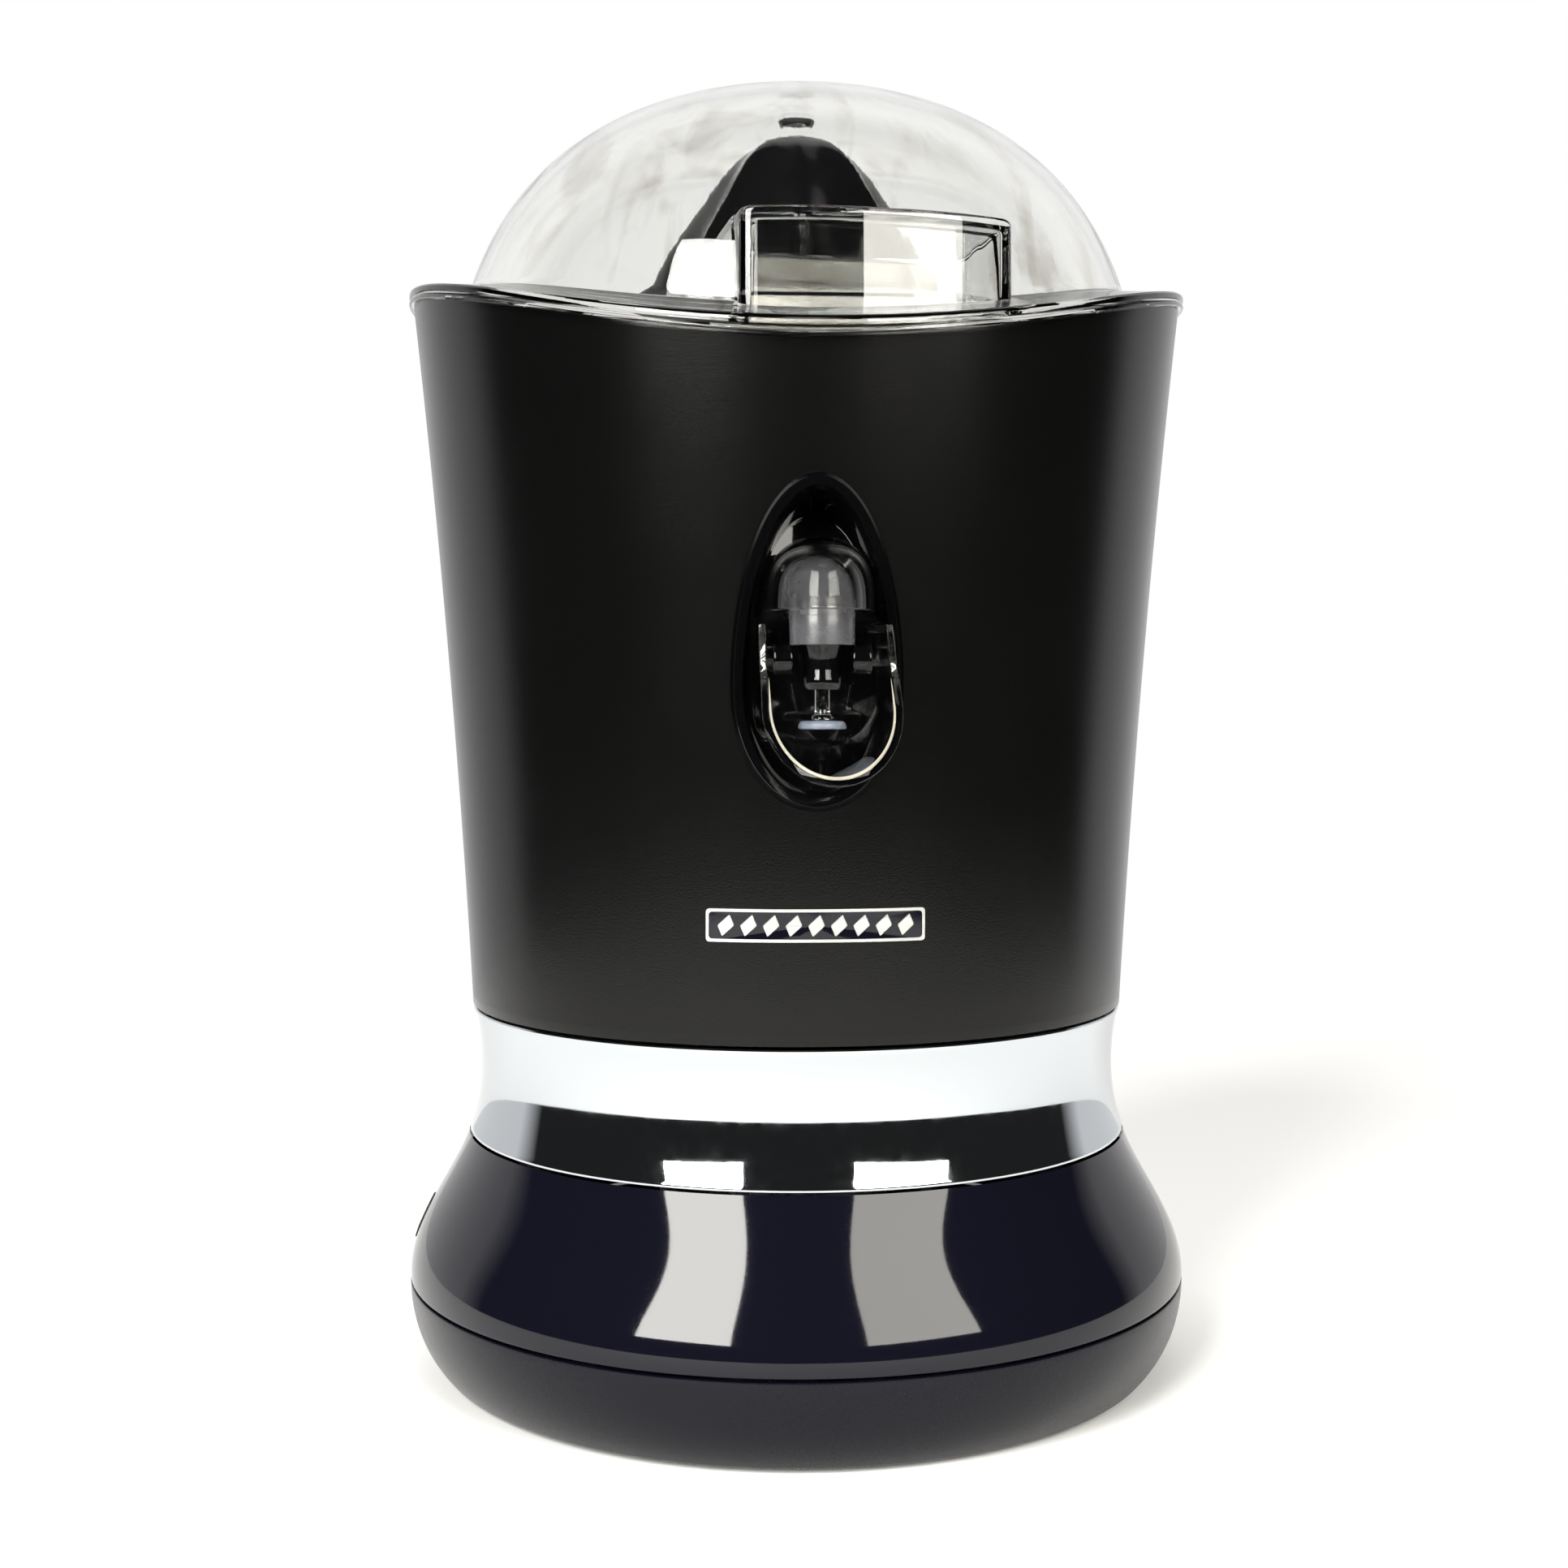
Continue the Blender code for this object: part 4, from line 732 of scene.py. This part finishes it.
cowl_grid = np.concatenate([tails[0], cowl_grid, tails[1]], axis=1)
cowl = grid_piece("clear_cowl", cowl_grid, THIN_CLEAR, around=False)
thicken(cowl, COWL_WALL)
fit_to(cowl, "housing", "clear_plastic")


def coat(piece, material):
    """Give a piece one material in place of those that it has."""
    piece.data.materials.clear()
    piece.data.materials.append(material)


pin_boss_profile = rounded(
    [(0.0013, 0.0088), (0.0026, 0.0088), (0.0026, 0.0052), (0.0013, 0.0052)], 0.0005
)[::-1]
for side, name in ((-1, "left"), (1, "right")):
    boss = turned(f"pin_boss_{name}", pin_boss_profile, JET_ABS, 48)
    boss.data.transform(
        Matrix.Translation((0, NOZZLE_Y, PIN_Z)) @ Matrix.Rotation(side * math.pi / 2, 4, "Y")
    )
    fit_to(boss, "housing", "gloss_black")
    coat(nodes[f"spout_pin_{name}"], JET_ABS)

# ---- drip valve ----
# Disc of bluish acetal on a clear stem, moulded apart and snapped together. It hangs in the nozzle,
# and the spout lifts it as it tilts.


def milky_acetal(name, colour):
    """Natural acetal: waxy white with a little light passing into it."""
    material, tree, shader, place = begin(
        name, Base_Color=linear(colour), IOR=1.48, Roughness=0.35, Subsurface_Weight=0.15,
        Subsurface_Scale=0.002,
    )
    mottle = add(tree, "ShaderNodeTexNoise", [(place, "Object", "Vector")], Scale=300.0, Detail=3.0)
    roughness_from(tree, shader, mottle, "Fac", 0.28, 0.45)
    return material


ACETAL = milky_acetal("natural_acetal", "#dfe4ea")
BLUE_ACETAL = milky_acetal("milky_blue_acetal", "#6c7482")
disc_profile = [(0.0, 0.1382), (0.0040, 0.1380), (0.0044, 0.1366), (0.0, 0.1366)]
disc = turned("valve_disc", rounded(disc_profile, 0.0006, closed=False), BLUE_ACETAL, 64, closed=False)
move(disc, 0, NOZZLE_Y)
fit_to(disc, "valve", "white_plastic", "drip_valve")
stem_profile = [(0.0, 0.1515), (0.0013, 0.1515), (0.0013, 0.1395), (0.0022, 0.1383), (0.0, 0.1383)]
stem = turned("valve_stem", rounded(stem_profile, 0.0006, closed=False), CLEAR, 48, closed=False)
move(stem, 0, NOZZLE_Y)
fit_to(stem, "valve", "clear_plastic")

# ---- spout ----
# Scoop moulded in clear SAN with a pouring lip, tipped up on two pins to stop the drip. Its side walls
# rise to ears round the pins. A thin pale cream bead along its lip is a painted highlight, for the light
# its rounded edge catches.
SPOUT_HALF = 0.0104
SPOUT_WALL = 0.0013
WALL_STEPS = 14
ARCH_STEPS = 49
LIP_Y, LIP_Z = -0.125, 0.129
RAKE = 0.8875
BACK_Y = -0.079
CORNER_Z = 0.1455
EAR_Z = PIN_Z + 0.006
EAR_FRONT_Y = NOZZLE_Y - 0.005
SLOPE = math.radians(5)
corner_y = LIP_Y + (CORNER_Z - LIP_Z) / RAKE
arch = np.linspace(math.pi, math.tau, ARCH_STEPS)
share = np.linspace(0, 1, WALL_STEPS + 1)
low_x, low_z = SPOUT_HALF * np.cos(arch), LIP_Z + SPOUT_HALF + SPOUT_HALF * np.sin(arch)
wall_x = np.concatenate([np.full(WALL_STEPS, -SPOUT_HALF), low_x, np.full(WALL_STEPS, SPOUT_HALF)])
lift = np.concatenate([share[:0:-1], np.zeros(ARCH_STEPS), share[1:]])
wall_z = np.full(WALL_STEPS, LIP_Z + SPOUT_HALF)
base_z = np.concatenate([wall_z, low_z, wall_z])
front_z = base_z + lift * (CORNER_Z - LIP_Z - SPOUT_HALF)
front_y = LIP_Y + (front_z - LIP_Z) / RAKE
ease = np.linspace(0, 1, 48)[:, None]
y = BACK_Y + (front_y - BACK_Y) * ease
blend = np.clip((y - corner_y) / (EAR_FRONT_Y - corner_y), 0, 1)
top_z = CORNER_Z + (EAR_Z - CORNER_Z) * blend ** 2 * (3 - 2 * blend)
z = base_z + lift * (top_z - LIP_Z - SPOUT_HALF)
dy, dz = y - LIP_Y, z - LIP_Z
tipped = np.clip(1 - lift, 0, 1)
spout_grid = np.stack([
    wall_x + 0 * y, LIP_Y + dy * math.cos(SLOPE) - dz * math.sin(SLOPE),
    LIP_Z + dz * math.cos(SLOPE) + dy * math.sin(SLOPE) * tipped,
], axis=-1)
scoop = grid_piece("spout_scoop", spout_grid, THIN_CLEAR, around=False)
thicken(scoop, SPOUT_WALL)
round_edges(scoop, 4)
fit_to(scoop, "spout", "clear_plastic", "spout")
BEAD = 0.0003
path = spout_grid[-1] * (1 - 0.5 * BEAD / SPOUT_HALF, 1, 1) + (0, BEAD, 0.4 * BEAD)
ahead = np.gradient(path, axis=0)
ahead /= np.linalg.norm(ahead, axis=1)[:, None]
out = np.cross(ahead, (1.0, 0.0, 0.0)) + np.cross(ahead, (0.0, 1.0, 0.3))
out -= ahead * np.sum(out * ahead, axis=1)[:, None]
out /= np.linalg.norm(out, axis=1)[:, None]
up = np.cross(ahead, out)
swing = np.linspace(0, math.tau, 12, endpoint=False)[:, None, None]
size = BEAD * np.sin(np.linspace(0, math.pi, len(path)))[:, None] ** 0.8
bead_grid = path + size * (np.cos(swing) * out + np.sin(swing) * up)
# The bead runs along the lip in pale cream as a painted highlight, thinning towards the ears.
bead = grid_piece("lip_painted_highlight", np.transpose(bead_grid, (1, 0, 2)), PAINTED_LIP_HIGHLIGHT, smooth=60)
fit_to(bead, "spout", "clear_plastic")

# ---- juice bowl ----
# Bowl moulded in clear SAN that hangs in the body by a saddle-shaped flange, with a drain at the front
# and a tube for the shaft in the middle.
FLANGE_RADIUS = body_radius(RIM_SIDE_Z) + 0.001


def saddle_turned(name, profile, material):
    """A turned profile whose heights may follow the saddle: rows are (radius, height, lift), and a row
    with a lift lies on the saddle raised by it, at that radius and angle."""
    angle = np.linspace(0, math.tau, 256, endpoint=False)
    rows = []
    for radius, height, lift in profile:
        across = radius * np.sin(angle)
        level = saddle_z(across, lift) if height is None else np.full(angle.size, height)
        rows.append(np.stack([radius * np.cos(angle), across, level], axis=-1))
    return grid_piece(name, np.array(rows), material, closed=True)


BOWL_RADIUS = 0.0758
DRAIN_RADIUS, DRAIN_BORE_RADIUS = 0.0062, 0.0046
bowl_profile = [
    (BOWL_RADIUS - 0.002, None, 0.0009), (BOWL_RADIUS - 0.0016, None, 0.0013),
    (FLANGE_RADIUS - 0.0004, None, 0.0013), (FLANGE_RADIUS - 0.0001, None, 0.0011),
    (FLANGE_RADIUS, None, 0.0008), (FLANGE_RADIUS - 0.0001, None, 0.0005),
    (FLANGE_RADIUS - 0.0004, None, 0.0003), (BOWL_RADIUS + 0.0006, None, 0.0003),
    (BOWL_RADIUS, None, -0.0004), (BOWL_RADIUS, 0.2012, 0), (BOWL_RADIUS - 0.001, 0.1998, 0),
    (0.0684, 0.1996, 0), (0.068, 0.199, 0), (0.068, 0.1905, 0), (0.067, 0.189, 0), (0.0602, 0.189, 0),
    (0.060, 0.1874, 0), (0.0572, 0.1874, 0), (0.057, 0.189, 0), (0.0068, 0.189, 0), (0.0068, 0.2058, 0),
    (0.0071, 0.206, 0), (0.0085, 0.206, 0), (0.0088, 0.2058, 0), (0.0088, 0.1925, 0), (0.0098, 0.191, 0),
    (0.0645, 0.191, 0), (0.066, 0.1922, 0), (0.066, 0.2012, 0), (0.0664, 0.2016, 0),
    (BOWL_RADIUS - 0.0024, 0.2016, 0), (BOWL_RADIUS - 0.002, 0.202, 0),
]
bowl = saddle_turned("bowl_shell", bowl_profile, CLEAR)
carve(bowl, [rod("drain", (0, DRAIN_Y, 0.179), (0, DRAIN_Y, 0.190), DRAIN_RADIUS)], "UNION")
carve(bowl, [rod("drain_bore", (0, DRAIN_Y, 0.17), (0, DRAIN_Y, 0.20), DRAIN_BORE_RADIUS)])
coat(bowl, CLEAR)
fit_to(bowl, "bowl", "clear_plastic", "juice_bowl")

# ---- strainer ----
# Slotted plate that holds back pips and pulp: white acetal, moulded in one piece. It rests on the
# bowl's ledge and is lifted out to be rinsed.
coat(nodes["pulp_strainer"], ACETAL)

# ---- reamer cone ----
# Cone that the half fruit is pressed on: semi-gloss black ABS, moulded hollow with rounded ribs. It
# stands on the strainer, and the shaft's hexagon turns it from inside.
RIBS = 8
RIB_DEPTH = 0.17
CONE_FOOT_Z = 0.2108
CONE_BORE_RADIUS = 0.0046
cone_line = np.array([
    (0.0, 0.2664), (0.0030, 0.2663), (0.0066, 0.2657), (0.0098, 0.2641), (0.0127, 0.2619),
    (0.0170, 0.2570), (0.0206, 0.2512), (0.0233, 0.2474), (0.0263, 0.2433), (0.0300, 0.2370),
    (0.0330, 0.2300), (0.0356, 0.2225), (0.0372, 0.2160), (0.0380, 0.2125), (0.0380, CONE_FOOT_Z),
])
chord = np.concatenate([[0], np.cumsum(np.hypot(*np.diff(cone_line, axis=0).T))])
fine = np.linspace(0, chord[-1], 90)
line = np.stack([np.interp(fine, chord, cone_line[:, k]) for k in (0, 1)], axis=-1)
# Six rounds of averaging with the neighbours soften the line, but for its foot.
smooth_line = line.copy()
for _ in range(6):
    smooth_line[1:-1] = (smooth_line[:-2] + 2 * smooth_line[1:-1] + smooth_line[2:]) / 4
line[:-6] = smooth_line[:-6]
angle = np.linspace(0, math.tau, 320, endpoint=False)
down = (line[0, 1] - line[:, 1]) / (line[0, 1] - CONE_FOOT_Z)
depth = RIB_DEPTH * np.clip(np.sin(math.pi * np.clip(down, 0, 1)), 0, 1) ** 0.5
groove = np.abs(np.sin(RIBS * angle / 2)) ** 1.2
radius = line[:, :1] * (1 - depth[:, None] * groove)
cone_grid = np.stack([radius * np.cos(angle), radius * np.sin(angle), line[:, 1:] + 0 * radius], axis=-1)
under = [
    (0.0365, CONE_FOOT_Z), (0.031, CONE_FOOT_Z), (0.030, 0.2175), (0.0265, 0.229), (0.020, 0.240),
    (0.0125, 0.2415), (0.0125, CONE_FOOT_Z), (CONE_BORE_RADIUS, CONE_FOOT_Z), (CONE_BORE_RADIUS, 0.2242),
    (0, 0.2242),
]
under_grid = np.array([
    np.stack([r * np.cos(angle), r * np.sin(angle), np.full(angle.size, h)], axis=-1) for r, h in under
])
REAMER_ABS = polished_abs("semi_gloss_black_abs", "#0b0b0d", 0.10, 0.16, 1.45)
cone = grid_piece("reamer", np.concatenate([cone_grid, under_grid]), REAMER_ABS, smooth=50)
fit_to(cone, "cone", "gloss_black", "reamer_cone")

# ---- lid ----
# Dome moulded in clear SAN, with a flange that lies on the bowl's, a box-shaped bay at the front that
# makes room for the thumb, and a small boss inside the apex.
DOME_RADIUS, DOME_HEIGHT, DOME_BASE_Z = 0.0751, 0.0761, 0.1967
DOME_POWER = 2.44
LID_WALL = 0.002
FLANGE_LOW = 0.0016
FLANGE_HIGH = 0.0031


def dome_point(psi, inset):
    """Superellipse (radius, z) at the angle psi above the base."""
    r = (DOME_RADIUS - inset) * np.clip(np.cos(psi), 0, 1) ** (2 / DOME_POWER)
    return r, DOME_BASE_Z + (DOME_HEIGHT - inset) * np.clip(np.sin(psi), 0, 1) ** (2 / DOME_POWER)


def dome_rows(inset, lift, angle):
    """Rows of the dome from its apex down to where it meets the saddle raised by lift."""
    psi_end = np.full(angle.size, 0.3)
    for _ in range(30):
        r = dome_point(psi_end, inset)[0]
        target = saddle_z(r * np.sin(angle), lift)
        rise = np.clip((target - DOME_BASE_Z) / (DOME_HEIGHT - inset), 0, 1)
        psi_end = np.arcsin(rise ** (DOME_POWER / 2))
    share = np.linspace(0, 1, 90)[:, None] ** 0.9
    psi = math.pi / 2 + (psi_end - math.pi / 2) * share
    r, level = dome_point(psi, inset)
    r[0] = 0
    return np.stack([r * np.cos(angle), r * np.sin(angle), level], axis=-1)


angle = np.linspace(0, math.tau, 256, endpoint=False)
outer = dome_rows(0.0, FLANGE_HIGH + 0.0008, angle)
inner = dome_rows(LID_WALL, FLANGE_LOW, angle)
foot_radius = np.hypot(outer[-1, :, 0], outer[-1, :, 1])


def flange_row(radius, lift):
    """One row of the flange at a radius, on the saddle raised by lift."""
    across = radius * np.sin(angle)
    return np.stack([radius * np.cos(angle), across, saddle_z(across, lift)], axis=-1)


flange_edge = (
    (0.0012, FLANGE_HIGH), (0.0005, FLANGE_HIGH), (0.0001, FLANGE_HIGH - 0.0003),
    (0, FLANGE_HIGH - 0.0007), (0.0001, FLANGE_LOW + 0.0003), (0.0005, FLANGE_LOW), (0.0012, FLANGE_LOW),
)
flange = [
    flange_row(foot_radius + 0.0003, FLANGE_HIGH + 0.0002), flange_row(foot_radius + 0.0010, FLANGE_HIGH),
    *(flange_row(FLANGE_RADIUS - back, lift) for back, lift in flange_edge),
]
lid = grid_piece("dome_lid", np.concatenate([outer, flange, inner[::-1]]), CLEAR, smooth=40)
BAY_TURN = math.radians(9.3)
BAY_RADIUS = 0.0766
BAY_HALF = 0.0262
BAY_BACK_Y = -0.040
BAY_TOP_Z = 0.2325
BAY_FOOT_Z = 0.2165
BAY_CORNER = 0.004


def bay_solid(name, inset, foot_lift, bend):
    """Closed block of the bay: an outline with a curved front and rounded corners, carried up to a flat
    top with a rounded edge."""
    half = BAY_HALF - inset
    reach = BAY_RADIUS - inset
    side = math.asin(half / reach)
    sweep = np.linspace(-side, side, 15)
    arc = np.stack([reach * np.sin(sweep), -reach * np.cos(sweep)], axis=-1)
    corners = np.concatenate([arc, [(half, BAY_BACK_Y - inset), (-half, BAY_BACK_Y - inset)]])
    radii = np.full(len(corners), 0.0004)
    radii[[0, 14, 15, 16]] = BAY_CORNER - inset / 2
    outline = rounded(corners, radii, 7)
    centre = outline.mean(axis=0)
    away = outline - centre
    distance = np.hypot(*away.T)[:, None]
    cos, sin = math.cos(BAY_TURN), math.sin(BAY_TURN)
    rows = []
    top = BAY_TOP_Z - inset
    plan = [(0.0, None)] + [(0.0, level) for level in np.linspace(BAY_FOOT_Z, top - bend, 8)]
    for bow in np.linspace(0, math.pi / 2, 8)[1:]:
        plan.append((bend * (1 - math.cos(bow)), top - bend * (1 - math.sin(bow))))
    for pull, level in plan:
        flat = centre + away * (1 - pull / distance)
        x = flat[:, 0] * cos - flat[:, 1] * sin
        y = flat[:, 0] * sin + flat[:, 1] * cos
        heights = saddle_z(y, foot_lift) if level is None else np.full(len(x), level)
        rows.append(np.stack([x, y, heights], axis=-1))
    for first, order in ((rows[0], -1), (rows[-1], 1)):
        hub = first.mean(axis=0)
        caps = [hub + (first - hub) * s for s in (0.75, 0.5, 0.25, 0.0)]
        rows = caps[::-1] + rows if order < 0 else rows + caps
    return grid_piece(name, np.array(rows)[::-1], None, smooth=40)


carve(lid, [bay_solid("bay", 0.0, FLANGE_HIGH - 0.0008, 0.0012)], "UNION")
carve(lid, [bay_solid("bay_room", LID_WALL, -0.010, 0.0008)])
boss_profile = rounded([(0, 0.2716), (0.0044, 0.2716), (0.0036, 0.2694), (0, 0.2690)], 0.0008, closed=False)
carve(lid, [turned("boss", boss_profile, None, 64, closed=False)], "UNION")


def handled_clear(name, clean, marked):
    """Clear lid plastic that has been handled: long faint smears that run down the dome."""
    material, tree, shader, place = begin(
        name, Base_Color=linear(clean), IOR=1.45, Roughness=0.01, Transmission_Weight=1.0
    )
    stretch = add(tree, "ShaderNodeMapping", [(place, "Object", "Vector")], Scale=(1.0, 1.0, 0.3))
    smear = add(
        tree, "ShaderNodeTexNoise", [(stretch, "Vector", "Vector")], Scale=55.0, Detail=6.0, Distortion=1.5
    )
    amount = add(tree, "ShaderNodeMapRange", [(smear, "Fac", "Value")], From_Min=0.54, From_Max=0.72)
    tint = add(
        tree, "ShaderNodeMixRGB", [(amount, "Result", "Fac")], Color1=linear(clean), Color2=linear(marked)
    )
    tree.links.new(tint.outputs["Color"], shader.inputs["Base Color"])
    bump_from(tree, shader, smear, "Fac", 0.00006, 0.5)
    return material


coat(lid, handled_clear("handled_clear_san", "#fafaf8", "#dddad4"))
fit_to(lid, "lid", "clear_plastic", "lid")

# ---- pieces inside the casing ----
# Motor, gears, shaft and switch, fixed to the deck and brackets of the housing by screws and clips.
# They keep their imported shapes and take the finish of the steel, copper or plastic they are made of.


def drawn_steel(name, colour, rough):
    """Turned or drawn steel with fine machining marks."""
    material, tree, shader, place = begin(name, Base_Color=linear(colour), Metallic=1.0, Roughness=rough)
    marks = add(tree, "ShaderNodeTexNoise", [(place, "Object", "Vector")], Scale=1500.0, Detail=4.0)
    roughness_from(tree, shader, marks, "Fac", rough - 0.08, rough + 0.12)
    bump_from(tree, shader, marks, "Fac", 0.00001)
    return material


def wound_copper(name):
    """Enamelled copper wire wound in layers: fine ridges round the axis."""
    material, tree, shader, place = begin(name, Base_Color=linear("#a85a2a"), Metallic=1.0, Roughness=0.35)
    ridges = add(
        tree, "ShaderNodeTexWave", [(place, "Object", "Vector")], wave_type="BANDS", bands_direction="Z",
        Scale=500.0, Distortion=1.5,
    )
    bump_from(tree, shader, ridges, "Fac", 0.0002)
    return material


STEEL = drawn_steel("drawn_steel", "#b9b8b4", 0.3)
COPPER = wound_copper("wound_copper")
GREY_ABS = textured_abs("grey_abs", "#4a4c4e", 0.4, 0.55)
FINISHES = {
    "steel": STEEL, "copper": COPPER, "grey_plastic": GREY_ABS, "white_plastic": ACETAL, "rubber": RUBBER,
    "satin_black": SATIN_ABS, "gloss_black": POLISHED_ABS, "badge_silver": SILVER, "clear_plastic": CLEAR,
    "chrome": CHROMIUM,
}
slots = {part["node"]: part["material_slot"] for part in frame["record"]["subparts"]}
for name, node in nodes.items():
    if name != "pulp_strainer" and not name.startswith("spout_pin"):
        coat(node, FINISHES[slots[name]])

# ---- worktop, light and surroundings ----
# A round worktop painted matt white, under a soft overhead light. Behind the camera lie a dark room and
# its two tall windows, and beyond the juicer everything is white.


def plain_paint(name, colour):
    """Matt white paint with a barely visible mottle."""
    material, tree, shader, place = begin(name, Base_Color=linear(colour), Roughness=0.9)
    mottle = add(tree, "ShaderNodeTexNoise", [(place, "Object", "Vector")], Scale=8.0, Detail=3.0)
    roughness_from(tree, shader, mottle, "Fac", 0.85, 0.95)
    return material


WORKTOP_RADIUS = 0.50
angle = np.linspace(0, math.tau, 128, endpoint=False)
top_mesh = bpy.data.meshes.new("worktop")
edge_points = np.stack([WORKTOP_RADIUS * np.cos(angle), WORKTOP_RADIUS * np.sin(angle), 0 * angle], axis=-1)
top_mesh.from_pydata(edge_points.tolist(), [], [tuple(range(len(angle)))])
top_mesh.materials.append(plain_paint("white_paint", "#ececec"))
worktop = bpy.data.objects.new("worktop", top_mesh)
bpy.context.scene.collection.objects.link(worktop)
WINDOW_DISTANCE = 1.6
WINDOW_LOW_Z, WINDOW_HIGH_Z = 0.35, 1.70


def window(name, degrees, width, power, tint):
    """An upright light panel that faces the juicer, at an angle counted from the camera to the right."""
    data = bpy.data.lights.new(name, "AREA")
    data.shape = "RECTANGLE"
    data.size = width
    data.size_y = WINDOW_HIGH_Z - WINDOW_LOW_Z
    data.energy = power
    data.color = linear(tint)[:3]
    light = bpy.data.objects.new(name, data)
    bearing = VIEW_TURN - math.radians(degrees)
    light.location = (
        -WINDOW_DISTANCE * math.sin(bearing), -WINDOW_DISTANCE * math.cos(bearing),
        (WINDOW_LOW_Z + WINDOW_HIGH_Z) / 2,
    )
    light.rotation_euler = (math.pi / 2, 0, -bearing)
    light.visible_camera = False
    bpy.context.scene.collection.objects.link(light)


window("left_window", -31, 0.76, 79, "#fffef9")
window("right_window", 35.4, 0.93, 46, "#fffcf3")
overhead = bpy.data.lights.new("overhead", "AREA")
overhead.shape = "DISK"
overhead.size = 3.0
overhead.energy = 32
lamp = bpy.data.objects.new("overhead", overhead)
lamp.location = (0, 1.0, 2.6)
lamp.visible_glossy = False
lamp.visible_transmission = False
lamp.visible_camera = False
bpy.context.scene.collection.objects.link(lamp)

world = bpy.data.worlds.new("room")
bpy.context.scene.world = world
world.use_nodes = True
tree = world.node_tree
tree.nodes.clear()
ray = add(tree, "ShaderNodeLightPath")
place = add(tree, "ShaderNodeTexCoord")
split = add(tree, "ShaderNodeSeparateXYZ", [(place, "Generated", "Vector")])
depth_of_room = add(
    tree, "ShaderNodeMapRange", [(split, "Y", "Value")], From_Min=0.22, From_Max=0.40, To_Min=0.022,
    To_Max=0.88,
)


def compare(source, output, operation, value=0.0):
    """1 or 0 for how a value compares with a limit, or its absolute value."""
    node = add(tree, "ShaderNodeMath", [(source, output, 0)], operation=operation)
    node.inputs[1].default_value = value
    return node


def join(first, second, operation):
    """MAXIMUM of two values stands for or, and MULTIPLY stands for and."""
    return add(tree, "ShaderNodeMath", [first, second], operation=operation)


unreflected = compare(ray, "Glossy Depth", "LESS_THAN", 0.5)
forwards = compare(split, "Y", "LESS_THAN", -0.25)
sideways = compare(compare(split, "X", "ABSOLUTE"), "Value", "GREATER_THAN", 0.7)
backwards = compare(split, "Y", "GREATER_THAN", 0.8)
either = join((forwards, "Value", 0), (sideways, "Value", 1), "MAXIMUM")
plain = join((either, "Value", 0), (unreflected, "Value", 1), "MULTIPLY")
way = join((plain, "Value", 0), (backwards, "Value", 1), "MAXIMUM")
through = join((way, "Value", 0), (ray, "Is Transmission Ray", 1), "MULTIPLY")
seen = join((ray, "Is Camera Ray", 0), (through, "Value", 1), "MAXIMUM")
room = add(tree, "ShaderNodeBackground", [(depth_of_room, "Result", "Color")], Strength=1.0)
white = add(tree, "ShaderNodeBackground", Color=linear("#ffffff"), Strength=1.0)
both = add(
    tree, "ShaderNodeMixShader", [(seen, "Value", 0), (room, "Background", 1), (white, "Background", 2)]
)
add(tree, "ShaderNodeOutputWorld", [(both, "Shader", "Surface")])
